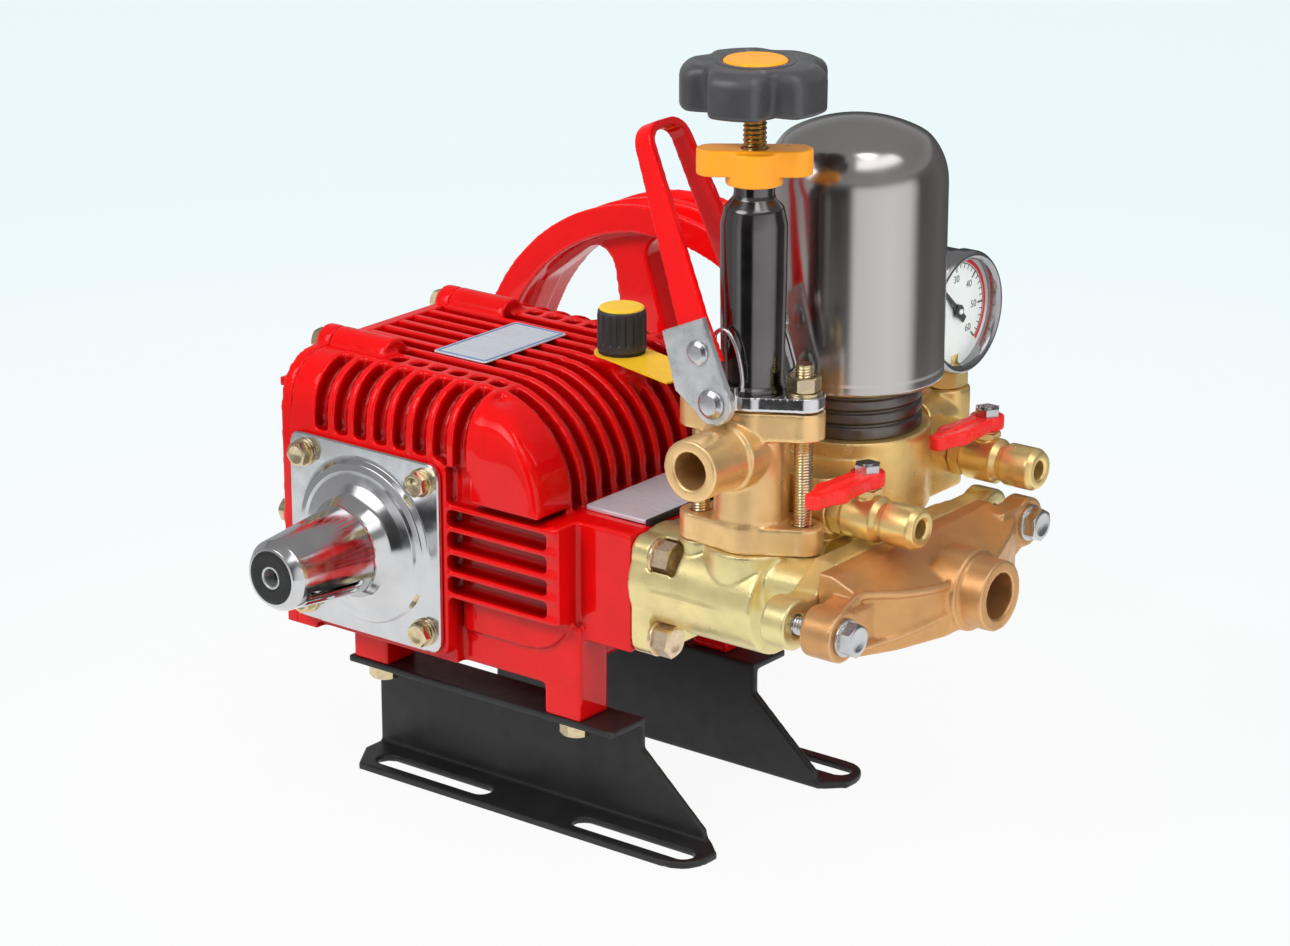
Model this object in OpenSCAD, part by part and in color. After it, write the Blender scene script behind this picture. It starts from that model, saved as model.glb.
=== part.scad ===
// Belt-driven triplex plunger pump of the power sprayer kind.
// A finned crankcase drives three plungers into a brass liquid end with a pressure regulator,
// an air chamber, two outlet cocks and a gauge.
// Frame: +X along the plungers to the suction inlet, +Y along the crankshaft to the pulley, +Z up.
// Origin: middle of the four foot slots, on the ground. Millimetres.

/* [Stance] */
// Height of the crankshaft axis above the ground
crank_height = 116; // [114:1:124]
// Distance from the middle of the foot slots back to the crankshaft axis
crank_setback = 80; // [78:1:82]

/* [Crankcase] */
// Width of the crankcase across the fins
case_width = 150; // [148:1:156]
// Crankshaft axis to the rear joint face
case_back = 45; // [45:1:50]
// Crankshaft axis to the front of the ribbed top
case_front = 98; // [97:1:100]
// Crankshaft axis to the top of the ribs
case_up = 77; // [75:1:82]
// Crankshaft axis to the underside
case_down = 50; // [48:1:52]
// Wall of the casting under the fins
case_wall = 8; // [7:0.5:9]
// Height of the cooling fins
fin_height = 6; // [4:0.5:7]
// Thickness of the cooling fins
fin_thick = 4; // [3:0.5:5]
// Spacing of the ribs along the top
rib_pitch = 10.5; // [9:0.5:12]
// Radius where the ribs turn down over the front
front_radius = 46; // [40:1:48]
// Radius of the shoulders along both sides of the top
shoulder_radius = 22; // [18:1:24]
// Thickness of the rear cover plate
rear_plate = 6; // [5:0.5:8]

/* [Feet] */
// Height of a channel foot
foot_height = 52; // [50:1:56]
// Length of a foot
foot_length = 200; // [196:1:206]
// Sheet thickness of a foot
foot_sheet = 3.2; // [2.5:0.1:4]
// Distance between the webs of the two feet
foot_gap = 80; // [76:1:84]
// Width of the lower flange
foot_flange = 30; // [28:0.5:34]
// Length of a mounting slot, end to end
slot_length = 66; // [60:1:70]
// Width of a mounting slot
slot_width = 10.5; // [9:0.5:11]
// Distance between the middles of the two slots of one foot
slot_span = 115; // [112:1:118]

/* [Drive] */
// Outer radius of the belt pulley
pulley_radius = 111; // [105:1:112]
// Width of the pulley rim
pulley_width = 40; // [36:1:44]
// Distance from the middle of the pump to the inner side of the rim
pulley_offset = 130; // [126:1:134]
// Half of the plunger stroke
crank_throw = 8; // [7:0.5:8]
// Radius of the crank pins
pin_radius = 10; // [9:0.5:10]
// Radius of the shaft in its bearings
journal_radius = 12.5; // [12:0.5:13]
// Distance between the two eyes of a connecting rod
rod_length = 75; // [74:1:77]
// Radius of a plunger
plunger_radius = 10; // [9:0.5:10]
// Side of the square plate of the shaft guard
guard_plate = 88; // [86:1:90]
// Length of the nose of the shaft guard
guard_nose = 61; // [56:1:64]

/* [Liquid end] */
// Distance from the crankshaft axis to the rear face of the manifold
manifold_reach = 137; // [136:1:140]
// Distance from the rear face of the manifold to the suction joint
manifold_depth = 98; // [97:1:104]
// Thickness of the manifold flange
flange_thick = 10; // [9:0.5:12]
// Distance of the regulator and the air chamber from the rear face of the manifold
tower_reach = 50; // [49:1:52]
// Depth of the suction cover at its middle
cover_depth = 35; // [33:1:38]
// Outer radius of the suction inlet
inlet_radius = 15.2; // [14:0.1:16]
// Bore radius of the suction inlet
inlet_bore = 10; // [9:0.5:11]

/* [Regulator] */
// Distance of the regulator axis from the middle of the pump
regulator_out = 41; // [40.5:0.5:42]
// Outer radius of the overflow nozzle
overflow_radius = 13.3; // [12.5:0.1:14]
// Bore radius of the overflow nozzle
overflow_bore = 8; // [7:0.5:9]
// Outer radius of the spring housing
housing_radius = 14; // [13.5:0.5:14]
// Length of the straight part of the spring housing
housing_length = 78; // [74:1:82]
// Radius of the adjusting screw
screw_radius = 5; // [4.5:0.5:5.5]
// Outer radius of the adjusting knob
knob_radius = 31; // [27:0.5:31]
// Height of the adjusting knob
knob_height = 19; // [16:1:22]
// Distance from the lever pivot to the top of the bail
lever_length = 118; // [112:1:120]

/* [Outlet] */
// Distance of the air chamber axis from the middle of the pump
chamber_out = 32.5; // [31:0.5:34]
// Radius of the air chamber
chamber_radius = 39; // [36:1:40]
// Height of the air chamber
chamber_height = 114; // [105:1:120]
// Distance of the near outlet cock from the air chamber axis
near_cock_out = 49; // [48:0.5:49]
// Distance of the far outlet cock from the air chamber axis
far_cock_out = 42; // [41:0.5:44]
// Length of an outlet cock outside the block
cock_length = 43; // [41:1:46]
// Radius of the gauge case
gauge_radius = 28; // [26:1:29]
// Distance from the air chamber axis to the gauge
gauge_out = 69.5; // [69:0.5:72]

/* [Fits] */
// Radial clearance of a running fit
run_gap = 0.06; // [0.04:0.01:0.1]
// Clearance round a piece that passes freely
free_gap = 0.35; // [0.3:0.05:0.5]

/* [Hidden] */
$fn = 64;

// A small overlap that joins or clears cuts
eps = 0.01;

// Crankcase places
crank_x = -crank_setback;
crank_z = crank_height;
case_half = case_width/2;
case_x0 = crank_x - case_back;
case_x1 = crank_x + case_front;
case_z0 = crank_z - case_down;
case_z1 = crank_z + case_up;
core_half = case_half - fin_height;
cavity_half = core_half - case_wall;
guide_x0 = crank_x + 83;
block_x1 = case_x1 + 10;
// Plungers are spaced by this share of the case width
pitch_share = 4/15;
plunger_pitch = case_width*pitch_share;
box_half = plunger_pitch + 20;
box_wall = 16;
box_z0 = crank_z - 26;
box_z1 = crank_z + 27.5;
man_x0 = crank_x + manifold_reach;
rear_x0 = case_x0 - rear_plate;
pad_side = guard_plate + 4;

// Bolts of the feet and the liquid end: M8
bolt_radius = 4;
bolt_length = 16;
head_across = 13;
head_height = 5.5;
washer_radius = 8;
washer_height = 1.6;
bolt_hole = bolt_radius + free_gap;
// Bolts of the covers: M6
cover_bolt_radius = 3;
cover_across = 10;
cover_head = 4.2;
cover_washer = 6.4;
cover_hole = cover_bolt_radius + free_gap;
boss_radius = 8.5;
guard_bolt = guard_plate/2 - 9;
lug_length = 33;
rear_bolts = [for (s = [-1, 1]) each [[s*41, case_z1 - 2, lug_length], [s*(case_half - 9), crank_z, 22],
    [s*41, case_z0 + 5, 22]]];
rear_boss = 2;
glass_boss = 6;
rear_fin_pitch = 12.5;

// Feet
web_half = foot_gap/2;
foot_rear = -104;
foot_corner = 14;
foot_top = 24;
leg_half = web_half + 13.5;
leg_width = 20;
leg_length = 20;
leg_rear_x = crank_x - 11;
leg_front_x = crank_x + 101.7;
skirt_half = leg_half + leg_width/2;
slot_line = web_half + 19;

// Crank train
bearing_outer = 26;
bearing_width = 15;
bearing_seat = 17;
bearing_in = case_half - bearing_seat;
throw_angle = [90, 210, 330];
pin_length = 18;
web_radius = crank_throw + pin_radius + 2;
bush_inner = pin_radius + crank_throw + 0.5;
bush_outer = bush_inner + 2.5;
eye_outer = bush_outer + 5;
eye_width = 15;
wrist_radius = 5;
cross_radius = plunger_radius + 3;
cross_back = 14;
cross_front = 24;
plunger_length = 85;
small_end = 8.5;
seat_radius = 11;
hub_in = pulley_offset - 14;
hub_out = pulley_offset + 30;
hub_radius = 25;
shaft_end = hub_out + 11;

// Liquid end
packing_outer = plunger_radius + 3.5;
packing_depth = 20;
collar_radius = packing_outer + 1.5;
barrel_radius = 22.5;
barrel_z = crank_z + 6;
port_radius = 8;
tower_x = man_x0 + tower_reach;
deck_z = crank_z + 30;
deck_half = 17;
bore_end = tower_x + 9;
suction_x = man_x0 + manifold_depth;
cover_z = crank_z + 15.5;
lobe_radius = 11;
lobe_out = box_half + 13;
lobes = [[-lobe_out, cover_z - 2, 23], [lobe_out, cover_z + 6.5, 18]];
ear_gap = 8;
flange_bolts = [for (y = [-1, 1], z = [-18.5, 18.5]) [y*(box_half - 6.5), crank_z + z]];
man_bolt = 4;
man_bolt_length = 24;
valve_radius = 12.5;
valve_height = 16;
cover_x1 = suction_x + cover_depth;
inlet_length = 14.5;

// Regulator
reg_y = -regulator_out;
reg_turn = 12;
reg_flange = 12;
reg_flange_gap = 38;
stud_radius = 4;
stud_out = 23.5;
stud_pad = 9;
reg_body = 16;
reg_top = deck_z + 2*reg_flange + reg_flange_gap;
overflow_z = reg_top - 19;
overflow_reach = 43.5;
plate_thick = 6;
plate_top = reg_top + 1 + plate_thick;
pivot_x = tower_x - 2.5;
pivot_z = plate_top - 2;
pivot_radius = 4;
cheek_in = 21;
cheek_thick = 4;
arm_thick = 3.6;
lever_lean = 24;
housing_top = plate_top + housing_length;
neck_top = housing_top + 9;
nut_height = 15;
nut_top = neck_top + nut_height;
knob_z = nut_top + 17;
cap_height = 3.5;
seat_z = housing_top - 24;
seat_thick = 5;
spring_wire = 2.4;
spring_mean = housing_radius - 5.2;
spring_turns = 7;

// Outlet
chamber_y = chamber_out;
block_front = tower_x + 27;
block_back = tower_x - 22;
block_y0 = reg_y + reg_body + 1.5;
block_y1 = chamber_y + far_cock_out + 10;
block_top = deck_z + 28;
boss_top = block_top + 8;
neck_radius = 30;
neck_spigot = 22;
chamber_z = boss_top + 21;
chamber_wall = 1.5;
chamber_corner = 28;
chamber_crown = 62;
cocks = [[chamber_y - near_cock_out, deck_z + 14], [chamber_y + far_cock_out, deck_z + 16]];
cock_radius = 10;
gauge_y = chamber_y + gauge_out;
gauge_z = chamber_z + 13.5;
gauge_depth = 22;
gauge_x1 = tower_x + 14;
gauge_x0 = gauge_x1 - gauge_depth;
gauge_stem_x = tower_x + 2;
gauge_boss_top = gauge_z - gauge_radius - 7;
gauge_stem = 6;

// Oil filler and top plates
filler_x = crank_x + 69;
filler_y = 20.5;
filler_top = case_z1 + 0.2;
filler_bore = 8.3;
tag_thick = 0.8;
seal_thick = 1.4;
cap_z = filler_top + tag_thick + seal_thick;

// Shared shapes

module to_x(x) translate([x, 0, 0]) rotate([0, 90, 0]) children();

module to_y(y) translate([0, y, 0]) rotate([-90, 0, 0]) children();

module rod_x(x0, x1, r) to_x(x0) cylinder(h = x1 - x0, r = r);

module rod_y(y0, y1, r) to_y(y0) cylinder(h = y1 - y0, r = r);

module span(x0, x1, y0, y1, z0, z1) translate([x0, y0, z0]) cube([x1 - x0, y1 - y0, z1 - z0]);

// Extrudes an outline drawn in X and Z from y0 to y1
module slab_y(y0, y1) translate([0, y1, 0]) rotate([90, 0, 0]) linear_extrude(y1 - y0) children();

// Extrudes an outline drawn in Y and Z from x0 to x1
module slab_x(x0, x1) translate([x0, 0, 0]) rotate([90, 0, 90]) linear_extrude(x1 - x0) children();

module round_rect(w, h, r) {
    square([w - 2*r, h], center = true);
    square([w, h - 2*r], center = true);
    for (x = [-1, 1], y = [-1, 1]) translate([x*(w/2 - r), y*(h/2 - r)]) circle(r);
}

// Oblong with round ends, l between the centres of the ends
module oblong(l, r) {
    square([l, 2*r], center = true);
    for (x = [-1, 1]) translate([x*l/2, 0]) circle(r);
}

module hex(across, h) cylinder(h = h, r = across/sqrt(3), $fn = 6);

// Hex bolt with a washer: the washer rests on z = 0 and the shank runs down
module hex_bolt(r, length, across, head, washer) {
    translate([0, 0, washer_height]) hex(across, head);
    cylinder(h = washer_height, r = washer);
    translate([0, 0, -length]) cylinder(h = length + eps, r = r);
}

module cover_bolt() hex_bolt(cover_bolt_radius, bolt_length, cover_across, cover_head, cover_washer);

module foot_bolt() hex_bolt(bolt_radius, bolt_length, head_across, head_height, washer_radius);

// Places children on the crankshaft axis
module at_crank() translate([crank_x, 0, crank_z]) children();

module at_tower(y, z) translate([tower_x, y, z]) children();

// Outline of the crankcase in X and Z, drawn in by inset under the fins
module case_side(inset) {
    r = front_radius - inset;
    x0 = case_x0;
    x1 = case_x1 - inset;
    z1 = case_z1 - inset;
    translate([x0, case_z0]) square([x1 - x0, z1 - r - case_z0]);
    translate([x0, case_z0]) square([x1 - r - x0, z1 - case_z0]);
    translate([x1 - r, z1 - r]) circle(r);
}

// Outline of the crankcase in Y and Z
module case_end(inset) {
    r = shoulder_radius - inset/2;
    half = case_half - inset;
    z1 = case_z1 - inset;
    translate([-half, case_z0]) square([2*half, z1 - r - case_z0]);
    translate([-(half - r), case_z0]) square([2*(half - r), z1 - case_z0]);
    for (s = [-1, 1]) translate([s*(half - r), z1 - r]) circle(r);
}

module case_core(inset) {
    intersection() {
        slab_y(-case_half, case_half) case_side(inset);
        slab_x(case_x0, case_x1) case_end(inset);
    }
}

// Crankcase

pocket_count = 8;
pocket_pitch = 11.6;
pocket_x0 = crank_x - 33;
pad_z1 = crank_z + pad_side/2;
rib_half = floor((core_half - 10)/rib_pitch);
side_fins = [for (i = [0:4]) crank_z + 25 - 10.3*i];
level_fin = fin_thick*0.7;
gap_deep = 3;
smooth_x0 = pocket_x0 + pocket_count*pocket_pitch;

module top_ribs() {
    for (i = [-rib_half:rib_half]) intersection() {
        case_core(0);
        span(case_x0, case_x1, i*rib_pitch - fin_thick/2, i*rib_pitch + fin_thick/2,
            case_z0 + 60, case_z1);
    }
}

// Upright ribs over the shoulder, then the smooth shoulder, on one side
module side_ribs(s) {
    intersection() {
        case_core(0);
        union() {
            for (i = [0:pocket_count]) translate([pocket_x0 + i*pocket_pitch - fin_thick/2,
                s > 0 ? core_half - 24 : -case_half, pad_z1 - 2])
                cube([fin_thick, case_half - core_half + 24, case_z1 - pad_z1 + 2]);
            span(smooth_x0, case_x1, s > 0 ? core_half - 16 : -case_half,
                s > 0 ? case_half : 16 - core_half, crank_z + 30, case_z1 - 4);
            span(case_x0, pocket_x0, s > 0 ? core_half - 16 : -case_half,
                s > 0 ? case_half : 16 - core_half, case_z0, case_z1);
        }
    }
}

module case_sides() {
    for (s = [-1, 1]) {
        side_ribs(s);
        // Square pad behind the guard plate and the far bearing cover
        translate([crank_x, s*(case_half + cavity_half)/2, crank_z]) rotate([90, 0, 0])
            linear_extrude(case_half - cavity_half, center = true) intersection() {
                round_rect(pad_side, pad_side, 6);
                translate([-case_back, -case_down]) square([200, 200]);
            }
        // Level fins
        for (z = side_fins) span(crank_x + pad_side/2 - 2, block_x1 - 2,
            s > 0 ? core_half - 2 : -case_half + 1, s > 0 ? case_half - 1 : 2 - core_half,
            z - level_fin/2, z + level_fin/2);
        // Corner post at the front end of the level fins
        span(block_x1 - 7, block_x1, s > 0 ? cavity_half : -case_half + 2,
            s > 0 ? case_half - 2 : -cavity_half, crank_z - 20, box_z1);
    }
}

module case_legs() {
    for (s = [-1, 1], x = [leg_rear_x, leg_front_x])
        span(x - leg_length/2, x + leg_length/2, s*leg_half - leg_width/2, s*leg_half + leg_width/2,
            foot_height, box_z0 + 6);
}

module case_solid() {
    case_core(fin_height);
    top_ribs();
    case_sides();
    case_legs();
    // Block round the crosshead guides and the open box in front of it
    span(guide_x0 - 2, block_x1, -core_half, core_half, case_z0 + 14, box_z1);
    span(block_x1 - 6, man_x0, -box_half, box_half, box_z0, box_z1);
    // Bosses for the rear cover bolts and the oil filler
    for (b = rear_bolts) translate([0, b[0], b[1]]) rod_x(case_x0, case_x0 + b[2], boss_radius);
    translate([filler_x, filler_y, case_z1 - 20]) cylinder(h = filler_top - case_z1 + 20, r = 12);
}

belly_radius = 24;
belly_x0 = crank_x + 48;
belly_x1 = crank_x + 109;
belly_z0 = crank_z - 34;
fins_z0 = side_fins[4] - level_fin/2;

// Raised panel under the level fins, rounded at its lower front corner
module belly_panel() {
    translate([belly_x0, belly_z0]) square([belly_x1 - belly_radius - belly_x0, 60]);
    translate([belly_x1 - belly_radius, belly_z0 + belly_radius]) circle(belly_radius);
}

// What is set back below the level fins, round the raised panel
module lower_recess() {
    for (s = [-1, 1]) difference() {
        span(crank_x + pad_side/2, man_x0, s > 0 ? skirt_half : -case_half - 1,
            s > 0 ? case_half + 1 : -skirt_half, foot_height, fins_z0);
        slab_y(s > 0 ? 0 : 3 - core_half, s > 0 ? core_half - 3 : 0) belly_panel();
    }
}

// Deep gaps between the level fins
module fin_gaps() {
    for (s = [-1, 1], i = [0:3]) span(crank_x + pad_side/2, block_x1 - 7,
        s > 0 ? core_half - gap_deep : -case_half - 1, s > 0 ? case_half + 1 : gap_deep - core_half,
        side_fins[i + 1] + level_fin/2, side_fins[i] - level_fin/2);
}

module crankcase() color("red") difference() {
    case_solid();
    lower_recess();
    fin_gaps();
    difference() {
        // Crank chamber, open at the rear
        intersection() {
            translate([-1, 0, 0]) case_core(fin_height + case_wall);
            span(case_x0 - 1, guide_x0, -cavity_half, cavity_half, case_z0 + case_wall, case_z1);
        }
        // Rims inside the chamber that carry the bearings and the rear bolts
        at_crank() for (s = [-1, 1]) rod_y(s > 0 ? bearing_in - 1 : -cavity_half - eps,
            s > 0 ? cavity_half + eps : 1 - bearing_in, bearing_outer + 7);
        for (b = rear_bolts) translate([0, b[0], b[1]]) rod_x(case_x0, case_x0 + b[2], boss_radius);
    }
    // Bearing seats and the shaft openings
    at_crank() for (s = [-1, 1]) {
        rod_y(s > 0 ? bearing_in : -case_half - 1, s > 0 ? case_half + 1 : -bearing_in,
            bearing_outer + run_gap);
        rod_y(s > 0 ? cavity_half - 10 : -case_half - 1, s > 0 ? case_half + 1 : 10 - cavity_half,
            bearing_outer - 4);
    }
    // Crosshead guides and plunger openings
    for (i = [-1:1]) translate([0, i*plunger_pitch, crank_z]) {
        rod_x(guide_x0 - 1, block_x1 + 5, cross_radius + free_gap);
        rod_x(block_x1, man_x0 + 1, packing_outer + free_gap);
        rod_x(man_x0 - 15, man_x0 - 5, collar_radius + free_gap);
    }
    // Open box for reaching the packing glands
    span(block_x1 + 5, man_x0 - 4, -box_half + box_wall, box_half - box_wall, box_z0 + 6, box_z1 + 1);
    // Bolt holes
    for (b = rear_bolts) translate([0, b[0], b[1]]) rod_x(case_x0 - 1, case_x0 + bolt_length, cover_hole);
    at_crank() for (x = [-1, 1], z = [-1, 1]) {
        translate([x*guard_bolt, 0, z*guard_bolt]) rod_y(-case_half - 1, -case_half + bolt_length, cover_hole);
        translate([x*far_bolt, 0, z*far_bolt]) rod_y(case_half - bolt_length, case_half + 1, cover_hole);
    }
    for (s = [-1, 1], x = [leg_rear_x, leg_front_x]) translate([x, s*leg_half, foot_height - 1])
        cylinder(h = bolt_length + 2, r = bolt_hole);
    for (b = flange_bolts) translate([0, b[0], b[1]])
        rod_x(man_x0 - man_bolt_length + flange_thick, man_x0 + 1, man_bolt + free_gap);
    translate([filler_x, filler_y, case_z1 - 30]) cylinder(h = 50, r = filler_bore);
}

module rear_cover() color("firebrick") difference() {
    union() {
        slab_x(rear_x0, case_x0) case_end(0);
        for (z = [case_z0 + 10 : rear_fin_pitch : case_z1 - 8])
            span(rear_x0 - fin_height, rear_x0 + eps, -case_half + 6, case_half - 6, z, z + fin_thick);
        for (b = rear_bolts) translate([0, b[0], b[1]]) rod_x(rear_x0 - rear_boss, case_x0, boss_radius);
        translate([0, 0, glass_z]) rod_x(rear_x0 - glass_boss, case_x0, glass_radius + 5);
    }
    for (b = rear_bolts) translate([0, b[0], b[1]]) {
        rod_x(rear_x0 - rear_boss - 1, case_x0 + 1, cover_hole);
        rod_x(rear_x0 - fin_height - 1, rear_x0 - rear_boss, cover_washer + 1);
    }
    translate([0, 0, glass_z]) {
        rod_x(rear_x0 - glass_boss - 1, case_x0 + 1, glass_radius - 2);
        rod_x(rear_x0 - glass_boss - 1, rear_x0, glass_radius);
    }
}

glass_z = crank_z - 16;
glass_radius = 12;

module oil_sight_glass() color("lightyellow") translate([0, 0, glass_z])
    rod_x(rear_x0 - glass_boss + 2, rear_x0, glass_radius - run_gap);

far_bolt = 25;
far_plate = 8;
far_radius = 44;

module cover_bolts() color("khaki") {
    for (b = rear_bolts) translate([rear_x0 - rear_boss, b[0], b[1]]) rotate([0, -90, 0]) cover_bolt();
    at_crank() for (x = [-1, 1], z = [-1, 1]) {
        translate([x*guard_bolt, -case_half - guard_sheet, z*guard_bolt]) rotate([90, 0, 0]) cover_bolt();
        translate([x*far_bolt, case_half + far_plate, z*far_bolt]) rotate([-90, 0, 0]) cover_bolt();
    }
}

// Shaft guard: a drawn sheet with a square plate, a ring step and a tapered nose
guard_sheet = 3;
guard_skin = 2;
step_radius = 38;
nose_base = 20;
nose_tip = 15.5;
slot_turn = -38;

module guard_profile(t) {
    top = guard_nose + guard_sheet;
    polygon([[0, 0], [step_radius - t, 0], [step_radius - t, guard_sheet - t],
        [step_radius - 4 - t, 2*guard_sheet - t], [step_radius - 10 - t, 8 - t],
        [nose_base + 3 - t, 12 - t], [nose_base - t, 18 - t], [nose_tip + 0.6 - t, top - t - 3],
        [nose_tip - 2.5 - t, top - t], [0, top - t]]);
}

module shaft_guard() color("silver") at_crank() translate([0, -case_half, 0]) rotate([90, 0, 0])
    difference() {
        union() {
            linear_extrude(guard_sheet) round_rect(guard_plate, guard_plate, 6);
            rotate_extrude() guard_profile(0);
        }
        translate([0, 0, -eps]) rotate_extrude() guard_profile(guard_skin);
        // Round opening in the end and the slot low on the nose
        cylinder(h = guard_nose + 10, r = 5.5);
        rotate([0, 0, slot_turn]) translate([nose_tip - 6, 0, 0]) linear_extrude(guard_nose - 6)
            square([20, 9], center = true);
        for (x = [-1, 1], y = [-1, 1]) translate([x*guard_bolt, y*guard_bolt, -1])
            cylinder(h = guard_sheet + 2, r = cover_hole);
    }

module crank_bearings() color("lightsteelblue") at_crank() for (s = [-1, 1]) {
    y0 = s > 0 ? bearing_in : -bearing_in - bearing_width;
    difference() {
        rod_y(y0, y0 + bearing_width, bearing_outer);
        rod_y(y0 - 1, y0 + bearing_width + 1, journal_radius + run_gap);
        // Groove between the races on both sides
        for (y = [y0 - 1, y0 + bearing_width - 2]) difference() {
            rod_y(y, y + 3, bearing_outer - 4);
            rod_y(y - 1, y + 4, journal_radius + 4);
        }
    }
}

seal_in = case_half + 6;
seal_out = case_half + 15;
seal_radius = journal_radius + 7;

module far_bearing_cover() color("red") at_crank() difference() {
    union() {
        rod_y(case_half, case_half + far_plate, far_radius);
        rod_y(case_half, seal_out, seal_radius + 6);
    }
    rod_y(case_half - 1, seal_out + 1, journal_radius + 2);
    rod_y(seal_in, seal_out + 1, seal_radius + run_gap);
    for (x = [-1, 1], z = [-1, 1]) translate([x*far_bolt, 0, z*far_bolt])
        rod_y(case_half - 1, case_half + far_plate + 1, cover_hole);
}

module shaft_oil_seal() color("dimgray") at_crank() difference() {
    rod_y(seal_in, seal_out - 0.5, seal_radius);
    rod_y(seal_in - 1, seal_out + 1, journal_radius + run_gap);
    // Open side of the lip
    difference() {
        rod_y(seal_out - 4, seal_out + 1, seal_radius - 1.5);
        rod_y(seal_out - 5, seal_out + 2, journal_radius + 2);
    }
}

// Feet

module foot(s) {
    web = foot_sheet;
    x1 = foot_rear + foot_length;
    top_x1 = x1 - 46;
    difference() {
        union() {
            // Web with a sloping front edge
            slab_y(s > 0 ? web_half : -web_half - web, s > 0 ? web_half + web : -web_half)
                polygon([[foot_rear, 0], [x1 - 10, 0], [x1 - 12, 8], [top_x1, foot_height - 14],
                    [top_x1, foot_height], [foot_rear, foot_height]]);
            // Lower flange with a bevelled rear corner and a rounded front corner
            linear_extrude(web) mirror([0, s > 0 ? 0 : 1]) translate([0, web_half]) {
                polygon([[foot_rear, 0], [x1 - 10, 0], [x1, 9], [x1, foot_flange - foot_corner],
                    [x1 - foot_corner, foot_flange], [foot_rear + 10, foot_flange],
                    [foot_rear, foot_flange - 16]]);
                translate([x1 - foot_corner, foot_flange - foot_corner]) circle(foot_corner);
            }
            // Upper flange
            span(foot_rear, top_x1, s > 0 ? web_half : -web_half - foot_top,
                s > 0 ? web_half + foot_top : -web_half, foot_height - web, foot_height);
        }
        for (x = [-1, 1]) translate([x*slot_span/2, s*slot_line, -1]) linear_extrude(web + 2)
            oblong(slot_length - slot_width, slot_width/2);
        for (x = [leg_rear_x, leg_front_x]) translate([x, s*leg_half, foot_height - web - 1])
            cylinder(h = web + 2, r = bolt_hole);
    }
}

module near_foot() color([0.1, 0.1, 0.1]) foot(-1);

module far_foot() color([0.1, 0.1, 0.1]) foot(1);

module foot_bolts() color("khaki") for (s = [-1, 1], x = [leg_rear_x, leg_front_x])
    translate([x, s*leg_half, foot_height - foot_sheet]) rotate([180, 0, 0]) foot_bolt();

// Plates and the oil filler

module name_plate() color("lightgray") translate([crank_x + 16, -1, case_z1])
    linear_extrude(0.8) round_rect(31, 58, 2);

gland_plate_x0 = case_x1 + 2;
gland_plate_x1 = man_x0 - 3;

module gland_cover_plate() color("silver") translate([(gland_plate_x0 + gland_plate_x1)/2, 0, box_z1])
    linear_extrude(2) round_rect(gland_plate_x1 - gland_plate_x0, 2*box_half - 30, 2);

tag_length = 50;
tag_radius = 12.5;
tag_turn = -16;

module filler_tag() color("gold") translate([filler_x, filler_y, filler_top]) linear_extrude(tag_thick)
    difference() {
        union() {
            circle(tag_radius);
            rotate(tag_turn) translate([tag_length/2, 0]) square([tag_length, 2*tag_radius - 1], center = true);
        }
        circle(filler_bore + 1);
    }

cap_grip = 11.2;
cap_height_oil = 20;

module oil_cap() color([0.12, 0.12, 0.12]) translate([filler_x, filler_y, cap_z]) {
    difference() {
        cylinder(h = cap_height_oil, r = cap_grip);
        // Grip flutes
        for (a = [0:20:340]) rotate(a) translate([cap_grip + 0.9, 0, 4])
            cylinder(h = cap_height_oil - 7, r = 1.3);
    }
    translate([0, 0, -12]) cylinder(h = 12 + eps, r = filler_bore - free_gap);
}

module oil_cap_seal() color("black") translate([filler_x, filler_y, cap_z - seal_thick]) difference() {
    cylinder(h = seal_thick, r = 10.6);
    translate([0, 0, -1]) cylinder(h = seal_thick + 2, r = filler_bore - free_gap + run_gap);
}

// Crank train

function pin_x(i) = crank_throw*cos(throw_angle[i]);
function pin_z(i) = crank_throw*sin(throw_angle[i]);
function lane(i) = (i - 1)*plunger_pitch;

web_gap = (plunger_pitch - pin_length)/2;
end_web = 4;
crank_end = plunger_pitch + pin_length/2 + end_web;

module crankshaft() color("lightslategray") at_crank() difference() {
    union() {
        for (i = [0:2]) translate([pin_x(i), 0, pin_z(i)])
            rod_y(lane(i) - pin_length/2 - eps, lane(i) + pin_length/2 + eps, pin_radius);
        for (y = [-1, 1]) rod_y(y*plunger_pitch/2 - web_gap, y*plunger_pitch/2 + web_gap, web_radius);
        rod_y(-crank_end, end_web - crank_end, web_radius);
        rod_y(crank_end - end_web, crank_end, web_radius);
        // Near end, running out inside the guard
        rod_y(-case_half - guard_sheet, -crank_end + eps, journal_radius);
        rod_y(-case_half - guard_nose + 12, -case_half, journal_radius - 3);
        // Far end with the pulley seat and the thread for its nut
        rod_y(crank_end - eps, hub_in - 2, journal_radius);
        rod_y(hub_in - 3, hub_out, seat_radius);
        rod_y(hub_out - 1, shaft_end, 7);
    }
    translate([0, 0, seat_radius]) span(-key_half, key_half, hub_in + key_in,
        hub_in + key_in + key_length, -key_half, 10);
}

key_half = 3;
key_in = 6;
key_length = 30;

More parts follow.
